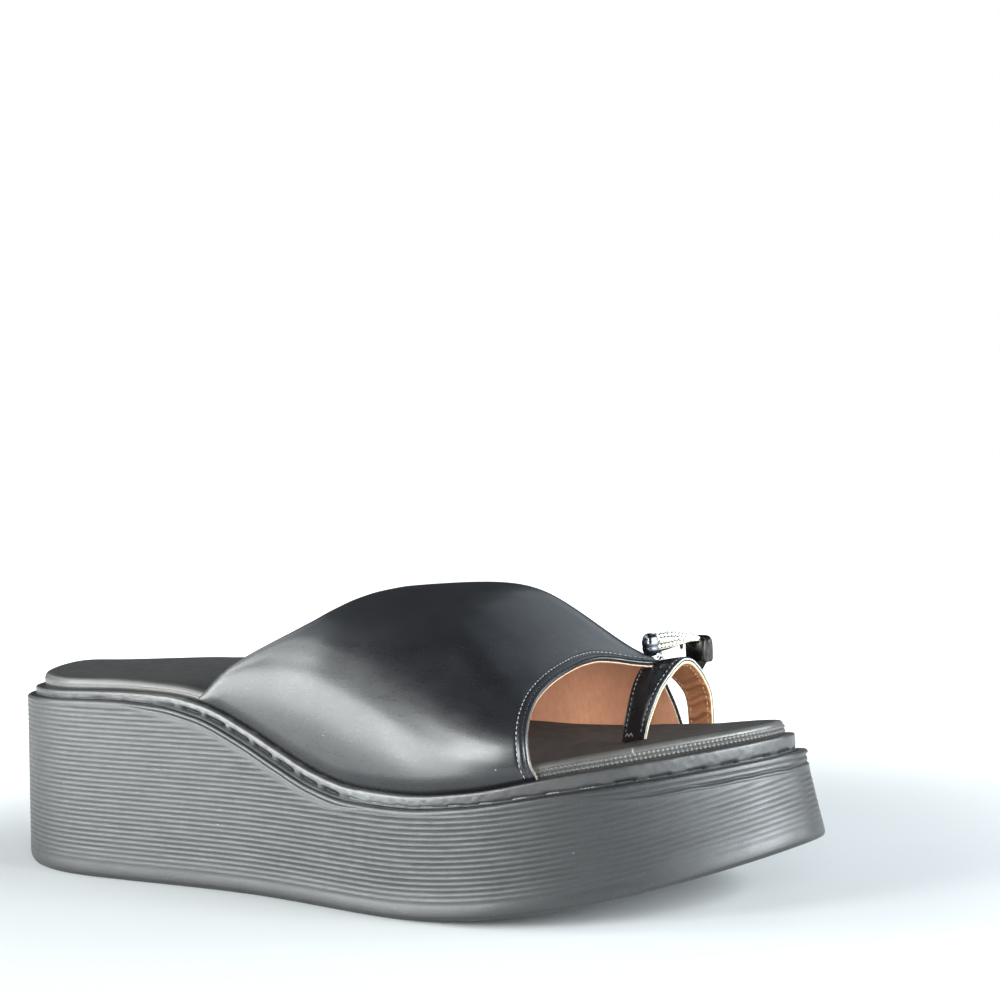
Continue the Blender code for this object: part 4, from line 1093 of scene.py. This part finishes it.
def build_strap(leather, lining, edges, thread, pale):
    rng = np.random.default_rng(17)
    shares = np.linspace(-0.03, 1.012, 181)
    w = loop_half(np.clip(shares, 0, 1))
    t = LOOP_WALL / 2
    fine = np.array([-1, -0.985, -0.95, -0.9, -0.84, -0.78, -0.72, -0.64, -0.54, -0.42, -0.28, -0.14])
    side = np.concatenate([fine, [0.0], -fine[::-1]])
    inside = (1 - np.abs(side)[None]) * w[:, None]          # distance from the nearest edge, mm
    high = t + 0.14 * (1 - side ** 4)[None] - 0.12 * np.exp(-((inside - 1.15) / 0.3) ** 2)
    high = high - 0.32 * np.clip(1 - inside / 0.45, 0, 1) ** 2
    wave = ripple(rng, ((0.31, 0.07), (0.19, 0.05)))
    high = high + wave(shares)[:, None] * (1 - side ** 2)[None]
    outer = strap_point(shares[:, None], side[None], high)
    make("toe_strap_leather", outer.reshape(-1, 3), grid_faces(*outer.shape[:2]), leather, "upper_leather")
    # lining with cross wrinkles
    inner_side = np.linspace(-1, 1, 23)
    wrinkle = ripple(rng, ((0.061, 0.26), (0.093, 0.2), (0.037, 0.14)))
    lean = shares[:, None] + 0.012 * np.sin(3.0 * inner_side)[None]
    low = -t + wrinkle(lean) * (0.4 + 0.6 * smooth(0.55, 0.8, shares))[:, None] * (1 - inner_side ** 4)[None]
    low = low + 0.2 * np.clip(1 - (1 - np.abs(inner_side))[None] * w[:, None] / 0.5, 0, 1) ** 2
    inner = strap_point(shares[:, None], inner_side[None], low)
    make("toe_strap_lining", inner.reshape(-1, 3), grid_faces(*inner.shape[:2]), lining, "upper_leather")
    for end, tag in ((-1, "rear"), (1, "front")):
        for name, paint, shape in (
                ("fold", leather, ((0.86, -0.06), (0.80, 0.02), (0.70, 0.05), (0.62, 0.03))),
                ("leather", edges[0], ((0.62, 0.03), (0.56, 0.09), (0.42, 0.11), (0.28, 0.08), (0.22, 0.0))),
                ("line", edges[1], ((0.22, 0.0), (0.16, -0.26), (-0.10, -0.26), (-0.16, -0.02))),
                ("lining", edges[2], ((-0.16, -0.02), (-0.24, 0.06), (-0.45, 0.09), (-0.66, 0.05), (-0.74, -0.03))),
                ("underside", lining, ((-0.74, -0.03), (-0.84, -0.06), (-0.96, -0.14)))):
            strip = np.stack([strap_point(shares, end * (1 + o / w), h) for h, o in shape], axis=1)
            make(f"toe_strap_{tag}_{name}", strip.reshape(-1, 3), grid_faces(len(shares), len(shape)), paint, "upper_leather")
    # stitch rows near both edges, outside and inside
    for end, tag in ((-1, "rear"), (1, "front")):
        run = np.linspace(0.02, 0.99, 200)
        half = loop_half(run)
        line = strap_point(run, end * (1 - 1.15 / half), t + 0.02)
        up = unit(strap_point(run, end * (1 - 1.15 / half), t + 1.0) - line)
        stitch_line(f"toe_strap_{tag}_stitches", line, up, 1.5, 0.95, 0.1, thread, lift=0.02)
        line = strap_point(run, end * (1 - 1.15 / half), -t - 0.02)
        stitch_line(f"toe_strap_{tag}_inside_stitches", line, -up, 1.75, 1.2, 0.15, pale, lift=0.05)
    # bar tack over the near leg's foot
    parts = []
    zig = np.linspace(-0.70, 0.0, 5)
    level = np.where(np.arange(5) % 2 == 0, 0.012, 0.034)
    a = strap_point(level, zig, t + 0.10)
    up = unit(strap_point(level, zig, t + 1.0) - a)
    mid, along = (a[1:] + a[:-1]) / 2, a[1:] - a[:-1]
    parts.append(capsules(mid + up[1:] * 0.04, along, up[1:], np.linalg.norm(along, axis=1) * 1.05, 0.12))
    make("toe_strap_bar_tack", *join(parts), thread, "upper_leather")


# ----------------------------------------------------------------- ornament
def strap_top(y):
    run = np.linspace(0.05, 0.95, 181)
    here, out = loop_path(run)
    outer = here + out * LOOP_WALL / 2
    return np.interp(y, outer[:, 0], outer[:, 1] + loop_climb(run) * loop_half(run))


def bar_axis():
    start, end = np.array(BAR_FROM), np.array(BAR_TO)
    along = (end - start) / np.linalg.norm(end - start)
    return start, end, along, np.array([along[1], -along[0]])


def closed_tube(rings):
    n = len(rings[0])
    faces = grid_faces(len(rings), n, closed=True)
    faces += [tuple(range(n))[::-1], tuple((len(rings) - 1) * n + i for i in range(n))]
    return np.vstack(rings), faces


def bar_point(share, turn, lift=0.0):
    start, end, along, across = bar_axis()
    share, turn = np.broadcast_arrays(np.asarray(share, float), np.asarray(turn, float))
    low, high, half = bar_under(share), bar_top(share), bar_half(share)
    tall = (high - low) / 2
    flat = start + (end - start) * share[..., None] + (np.cos(turn) * (half + lift))[..., None] * across
    return np.concatenate([flat, ((low + high) / 2 + np.sin(turn) * (tall + lift))[..., None]], axis=-1)


def gems(centres, normals, along, radius):
    """Faceted round stones: girdle, crown and table, eight-fold."""
    side = unit(np.cross(normals, along))
    along = np.cross(side, normals)
    parts = []
    turn8 = np.linspace(0, 2 * np.pi, 8, endpoint=False)
    for c, n, a, s, r in zip(centres, normals, along, side, np.broadcast_to(radius, len(centres))):
        def ring(size, height, shift):
            t = turn8 + shift
            return c + n * height * r + np.outer(np.cos(t) * size * r, a) + np.outer(np.sin(t) * size * r, s)
        rings = [ring(0.55, -0.55, 0.0), ring(1.0, 0.0, 0.0), ring(0.96, 0.12, 0.0), ring(0.58, 0.46, np.pi / 8)]
        faces = grid_faces(3, 8, closed=True)
        for k in range(8):
            j = (k + 1) % 8
            faces += [(16 + k, 16 + j, 24 + k), (16 + j, 24 + j, 24 + k)]
        faces.append(tuple(24 + k for k in range(8)))
        faces.append(tuple(range(8))[::-1])
        parts.append((np.vstack(rings), faces))
    return join(parts)


def beads(centres, radius, sides=8, rings=5):
    """Small balls as one mesh."""
    parts = []
    turn = np.linspace(0, 2 * np.pi, sides, endpoint=False)
    for c, r in zip(centres, np.broadcast_to(radius, len(centres))):
        tilt = np.linspace(-np.pi / 2 + 0.25, np.pi / 2 - 0.25, rings)
        ring = [c + r * np.column_stack([np.cos(turn) * np.cos(t), np.sin(turn) * np.cos(t), np.full(sides, np.sin(t))]) for t in tilt]
        parts.append(closed_tube(ring))
    return join(parts)


def build_ornament(gun, dark, olive, stone):
    start, end, along, across = bar_axis()
    # knob: cushion with a waist and a rolled foot
    turn = np.linspace(0, 2 * np.pi, 48, endpoint=False)
    rings = []
    for tilt in np.linspace(-np.pi / 2, np.pi / 2, 33):
        wide = max(np.cos(tilt), 0.03) ** 0.72
        rise = np.sign(np.sin(tilt)) * abs(np.sin(tilt)) ** 0.9
        wide *= 1 - 0.07 * np.exp(-((rise + 0.15) / 0.16) ** 2) - 0.05 * np.exp(-((rise - 0.45) / 0.10) ** 2)
        square = (np.abs(np.cos(turn)) ** 3.2 + np.abs(np.sin(turn)) ** 3.2) ** (-1 / 3.2)
        flat = (np.array(KNOB_AT[:2]) + np.outer(np.cos(turn) * square * KNOB_SIZE[0] * wide * 0.97, along)
                + np.outer(np.sin(turn) * square * KNOB_SIZE[1] * wide * 0.97, across))
        rings.append(np.column_stack([flat, np.full(len(turn), KNOB_AT[2] + KNOB_SIZE[2] * rise)]))
    make("ornament_knob", *closed_tube(rings), gun, "ornament_metal", ("toe_ornament",), sharp=50)
    # bar with a stepped rim under its stones
    turn = np.linspace(0, 2 * np.pi, 40, endpoint=False)
    rings = [bar_point(np.full(40, s), turn, -0.28 - 0.10 * np.cos(2 * turn) * 0) for s in np.linspace(0, 1, 41)]
    make("ornament_bar", *closed_tube(rings), olive, "ornament_metal", sharp=50)
    rims = []
    for angle in (-0.62, 3.6):
        s = np.linspace(0.03, 0.985, 40)
        line = bar_point(s, np.full(40, angle), -0.05)
        ring = []
        small = np.linspace(0, 2 * np.pi, 8, endpoint=False)
        tangent = unit(np.gradient(line, axis=0))
        up = np.array([0.0, 0.0, 1.0])
        lateral = unit(np.cross(tangent, up))
        for k in range(40):
            ring.append(line[k] + 0.3 * (np.outer(np.cos(small), lateral[k]) + np.outer(np.sin(small), np.cross(lateral[k], tangent[k]))))
        rims.append(closed_tube(ring))
    make("ornament_bar_rims", *join(rims), olive, "ornament_metal", sharp=60)
    # stones in rows over the bar
    centres, normals, tangents, prongs = [], [], [], []
    angles = np.radians([-18, 14, 47, 80, 113, 146])
    for row, angle in enumerate(angles):
        length = np.linalg.norm(end - start)
        count = int(length * 0.9 / 1.22)
        share = 0.06 + (np.arange(count) + 0.5 * (row % 2)) * 1.22 / length
        share = share[share < 0.97]
        c = bar_point(share, np.full(len(share), angle), -0.12)
        o = bar_point(share, np.full(len(share), angle), 1.0)
        centres.append(c)
        normals.append(unit(o - c))
        ahead = bar_point(share + 0.01, np.full(len(share), angle), -0.12)
        tangents.append(unit(ahead - c))
        half = (angles[1] - angles[0]) / 2
        for shift in (0.0, 0.5):
            s = share + (0.25 + shift) * 1.22 / length
            prongs.append(bar_point(s, np.full(len(s), angle + half), -0.02))
    radius = 0.60 * (1 - 0.22 * np.linspace(0, 1, 50))
    c, o, t = np.vstack(centres), np.vstack(normals), np.vstack(tangents)
    size = 0.60 - 0.16 * np.clip((c[:, 1] - BAR_FROM[1]) / (BAR_TO[1] - BAR_FROM[1]) - 0.55, 0, 1)
    make("ornament_stones", *gems(c, o, t, size), stone, "ornament_metal", flat=True)
    make("ornament_prongs", *beads(np.vstack(prongs), 0.15), olive, "ornament_metal")
    # post with a collar, and a little ring by the knob's foot
    centre = start + (end - start) * POST_SHARE
    low, high = strap_top(centre[1]) - 0.2, (bar_under(POST_SHARE) + bar_top(POST_SHARE)) / 2
    turn = np.linspace(0, 2 * np.pi, 20, endpoint=False)
    rings = []
    for part, wide in ((0.0, 1.75), (0.06, 1.75), (0.12, 1.45), (0.2, 1.05), (0.45, 0.92), (0.5, 1.12), (0.56, 0.92), (0.8, 0.95), (1.0, 1.1)):
        flat = centre + POST_RADIUS * wide * np.column_stack([np.cos(turn), np.sin(turn)])
        rings.append(np.column_stack([flat, np.full(20, low + (high - low) * part)]))
    make("ornament_post", *closed_tube(rings), gun, "ornament_metal", sharp=50)
    around = np.linspace(0, 2 * np.pi, 25)[:-1]
    small = np.linspace(0, 2 * np.pi, 10, endpoint=False)
    hub = np.array([centre[0] - 0.2, centre[1] - 1.3, strap_top(centre[1]) + 0.75])
    flat_dir = np.array([along[0], along[1], 0.0])
    ring = []
    for a in around:
        out = np.cos(a) * flat_dir + np.sin(a) * np.array([0, 0, 1.0])
        normal = np.array([across[0], across[1], 0.0])
        ring.append(hub + out * 0.75 + 0.24 * (np.outer(np.cos(small), out) + np.outer(np.sin(small), normal)))
    faces = grid_faces(24, 10, closed=True) + [(230 + k, 230 + (k + 1) % 10, (k + 1) % 10, k) for k in range(10)]
    make("ornament_ring", np.vstack(ring), faces, stone, "ornament_metal")
    # small prong under the bar
    at = bar_point(np.array([0.58]), np.array([-np.pi / 2]), 0.0)[0]
    rings = []
    for drop, wide in ((-0.6, 0.55), (0.1, 0.5), (0.6, 0.42), (0.95, 0.38), (1.1, 0.2)):
        rings.append(at + np.column_stack([np.cos(turn) * wide, np.sin(turn) * wide, np.full(20, -drop)]))
    make("ornament_prong_end", *closed_tube(rings), dark, "ornament_metal", sharp=50)
    # block: rounded section swept across the strap, wavy top
    rings = []
    for share in np.linspace(0, 1, 45):
        y = BLOCK_Y[0] + (BLOCK_Y[1] - BLOCK_Y[0]) * share
        top, narrow = BLOCK_TOP - block_drop(share), block_narrow(share)
        rear, front = BLOCK_X[0] + narrow, BLOCK_X[1] - 0.5 * narrow
        seat = strap_top(y) + 0.3
        clear = BLOCK_X[1] - 1.3
        skirt = BLOCK_SKIRT + narrow
        ring = [(rear, seat), (rear - 0.02, top - 2.4), (rear, top - 1.6)]
        for a in np.radians(np.linspace(15, 90, 6)):
            ring.append((rear + 1.6 * (1 - np.cos(a)), top - 1.6 * (1 - np.sin(a))))
        ring += [(rear * 0.7 + front * 0.3, top + 0.04), (rear * 0.3 + front * 0.7, top + 0.04)]
        for a in np.radians(np.linspace(90, 15, 6)):
            ring.append((front - 1.6 * (1 - np.cos(a)), top - 1.6 * (1 - np.sin(a))))
        ring += [(front, top - 1.6), (front + 0.03, top - 3.0), (front, skirt + 0.9), (front - 0.12, skirt + 0.35),
                 (front - 0.4, skirt), (clear, skirt), (clear, max(seat, skirt + 0.4))]
        rings.append(np.array([(a, y, b) for a, b in ring]))
    make("ornament_block", *closed_tube(rings), dark, "ornament_metal", sharp=50)


# -------------------------------------------------------------------- build
LEATHER = leather_paint()
LINING = lining_paint("lining_look", (0.73, 0.34, 0.195), (0.87, 0.43, 0.265), (0.60, 0.265, 0.15))
# painted shade: the strap's lining is a darker copy of the vamp's lining
STRAP_LINING_SHADED = lining_paint("strap_lining_shaded_look", (0.40, 0.165, 0.075), (0.58, 0.262, 0.13), (0.32, 0.125, 0.055))
EDGES_LOOK = (edge_paint("edge_silver", (0.36, 0.37, 0.39), (0.62, 0.63, 0.65), 0.4),
              edge_paint("edge_cement", (0.006, 0.006, 0.007), (0.02, 0.02, 0.02), 0.6),
              edge_paint("edge_cream", (0.62, 0.53, 0.28), (0.86, 0.77, 0.48), 0.55),
              edge_paint("edge_tan", (0.44, 0.27, 0.17), (0.66, 0.50, 0.36), 0.55))
SILVER_THREAD = thread_paint("thread_silver", (0.15, 0.155, 0.165), (0.40, 0.41, 0.43), 0.32, Specular_IOR_Level=0.9)
DARK_THREAD = thread_paint("thread_dark", (0.012, 0.012, 0.014), (0.05, 0.05, 0.055), 0.4, Specular_IOR_Level=0.6)
PALE_THREAD = thread_paint("thread_pale", (0.42, 0.27, 0.16), (0.62, 0.44, 0.30), 0.6)
WELT_THREAD = thread_paint("thread_welt", (0.07, 0.07, 0.073), (0.30, 0.30, 0.31), 0.5)

build_sole(foam_paint())
build_midsole(midsole_paint())
build_welt_thread(WELT_THREAD, thread_paint("thread_welt_shaded", (0.010, 0.010, 0.011), (0.075, 0.075, 0.078), 0.55))
BED_EDGE = bead_paint()
build_footbed(bed_paint(), BED_EDGE)
build_bead_band(BED_EDGE)
build_bed_seam(edge_paint("seam_look", (0.10, 0.10, 0.10), (0.22, 0.22, 0.22), 0.45))
VAMP = Vamp()
build_vamp(VAMP, LEATHER, LINING, EDGES_LOOK)
for _name, _away, _pitch, _long, _wide, _thread in (
        ("vamp_stitches_outer", 2.75, 1.5, 1.05, 0.12, SILVER_THREAD),
        ("vamp_stitches_inner", 1.1, 1.5, 1.0, 0.11, DARK_THREAD)):
    _line, _up = VAMP.line(_away)
    stitch_line(_name, _line[2:-2], _up[2:-2], _pitch, _long, _wide, _thread, lift=0.05)
build_strap(LEATHER, STRAP_LINING_SHADED, EDGES_LOOK, SILVER_THREAD, PALE_THREAD)
build_ornament(metal_paint("ornament_gunmetal", (0.10, 0.11, 0.125), (0.20, 0.21, 0.235), 0.26),
               metal_paint("ornament_dark", (0.032, 0.030, 0.028), (0.074, 0.070, 0.065), 0.36),
               metal_paint("ornament_olive", (0.12, 0.115, 0.085), (0.28, 0.27, 0.21), 0.26),
               stone_paint())


# -------------------------------------------------------------------- stage
def build_floor():
    p = Paint("floor_look", roughness=0.85, Specular_IOR_Level=0.2)
    tone = p.mix(p.remap(p.noise(3, 2, 0.5), 0.3, 0.7, 0, 1), (0.662, 0.670, 0.674), (0.678, 0.686, 0.690))
    far = p.node("ShaderNodeVectorMath", operation="LENGTH")
    p.link(p.where(), far.inputs[0])
    material = p.finish(tone)
    # painted light: the floor glows, rising to white away from the shoe
    glow = p.node("ShaderNodeMapRange", interpolation_type="SMOOTHSTEP")
    for key, number in (("From Min", 0.15), ("From Max", 0.40), ("To Min", 0.0), ("To Max", 0.95)):
        glow.inputs[key].default_value = number
    p.link(far.outputs["Value"], glow.inputs["Value"])
    p.bsdf.inputs["Emission Color"].default_value = (1.0, 1.0, 1.0, 1.0)
    p.link(glow.outputs["Result"], p.bsdf.inputs["Emission Strength"])
    mesh = bpy.data.meshes.new("floor")
    turn = np.linspace(0, 2 * np.pi, 96, endpoint=False)
    mesh.from_pydata([(1.6 * np.cos(a), 1.6 * np.sin(a), 0.0) for a in turn], [], [tuple(range(96))])
    mesh.materials.append(material)
    obj = bpy.data.objects.new("floor", mesh)
    obj.location.z = -0.00005
    bpy.context.scene.collection.objects.link(obj)


def softbox(name, azimuth, elevation, distance, wide, tall, power, glossy, tint):
    """Area light aimed at the shoe. azimuth is measured from +X towards +Y."""
    a, e = np.radians(azimuth), np.radians(elevation)
    place = Vector((np.cos(a) * np.cos(e), np.sin(a) * np.cos(e), np.sin(e))) * distance + Vector((0, 0, 0.04))
    light = bpy.data.lights.new(name, "AREA")
    light.shape = "RECTANGLE"
    light.size, light.size_y = wide, tall
    light.energy = power
    light.color = tint
    obj = bpy.data.objects.new(name, light)
    obj.location = place
    obj.rotation_euler = (Vector((0, 0, 0.04)) - place).to_track_quat("-Z", "Y").to_euler()
    obj.visible_camera = False
    obj.visible_glossy = glossy
    bpy.context.scene.collection.objects.link(obj)


def build_world():
    world = bpy.data.worlds.new("studio")
    world.use_nodes = True
    tree = world.node_tree
    place = tree.nodes.new("ShaderNodeTexCoord")
    split = tree.nodes.new("ShaderNodeSeparateXYZ")
    ramp = tree.nodes.new("ShaderNodeValToRGB")
    tree.links.new(place.outputs["Generated"], split.inputs[0])
    tree.links.new(split.outputs["Z"], ramp.inputs["Fac"])
    stops = ramp.color_ramp.elements
    stops[0].position, stops[0].color = 0.02, (WORLD_LOW * 0.94, WORLD_LOW, WORLD_LOW * 1.06, 1)
    stops[1].position, stops[1].color = 0.75, (WORLD_HIGH * 0.90, WORLD_HIGH, WORLD_HIGH * 1.12, 1)
    # the backdrop itself is seen as white paper
    path = tree.nodes.new("ShaderNodeLightPath")
    paper = tree.nodes.new("ShaderNodeMix")
    paper.data_type = "RGBA"
    tree.links.new(path.outputs["Is Camera Ray"], paper.inputs["Factor"])
    tree.links.new(ramp.outputs["Color"], paper.inputs[6])
    paper.inputs[7].default_value = (1.0, 1.0, 1.0, 1.0)
    tree.links.new(paper.outputs[2], tree.nodes["Background"].inputs["Color"])
    bpy.context.scene.world = world


def build_camera():
    camera = bpy.data.cameras.new("camera")
    camera.lens, camera.sensor_width = 94.465, 36.0
    camera.clip_start, camera.clip_end = 0.05, 50.0
    obj = bpy.data.objects.new("camera", camera)
    right, up, back = (0.82651, 0.56101, -0.04634), (0.00704, 0.07202, 0.99738), (0.56287, -0.82467, 0.05558)
    place = (np.array([583.95, -598.842, 148.444]) - MIDDLE) * MM
    obj.matrix_world = Matrix([[right[k], up[k], back[k], place[k]] for k in range(3)] + [[0, 0, 0, 1]])
    bpy.context.scene.collection.objects.link(obj)
    bpy.context.scene.camera = obj


WORLD_LOW, WORLD_HIGH = 0.03, 0.03
LEFT, TOE, REST = (0.955, 1.0, 1.0), (0.92, 1.0, 1.035), (0.89, 1.0, 1.09)
LIGHTS = [
    # azimuth, elevation, power: a wide soft panel on the left, built of overlapping cells
    (-157, 5, 2.9), (-142, 5, 4.5), (-127, 5, 5.3), (-157, 17, 3.7), (-112, 17, 10.4),
    (-172, 29, 0.45), (-157, 29, 2.6), (-127, 29, 0.4), (-97, 29, 1.3), (-172, 42, 0.5),
    # a lower panel beyond the toe
    (-18, 6, 3.3), (0, 6, 6.8), (36, 6, 2.4), (0, 22, 13.5), (18, 22, 2.4), (36, 22, 5.0),
    # weak ones behind and overhead
    (96, 27, 0.75), (88, 48, 0.55), (72, 70, 0.32), (168, 27, 1.5), (-90, 70, 0.12),
]
build_floor()
build_world()
for _azimuth, _elevation, _power in LIGHTS:
    _wide, _tall = (0.50, 0.40) if _azimuth < 40 and _elevation < 60 else (0.56, 0.46)
    _tint = LEFT if _azimuth <= -97 else TOE if -60 < _azimuth < 40 else REST
    softbox(f"light_{_azimuth % 360}_{_elevation}", _azimuth, _elevation, 1.25, _wide, _tall, _power, True, _tint)
softbox("light_fill", -50, 14, 1.25, 0.6, 0.6, 11.0, False, LEFT)
build_camera()
bpy.context.scene.view_settings.view_transform = "Standard"
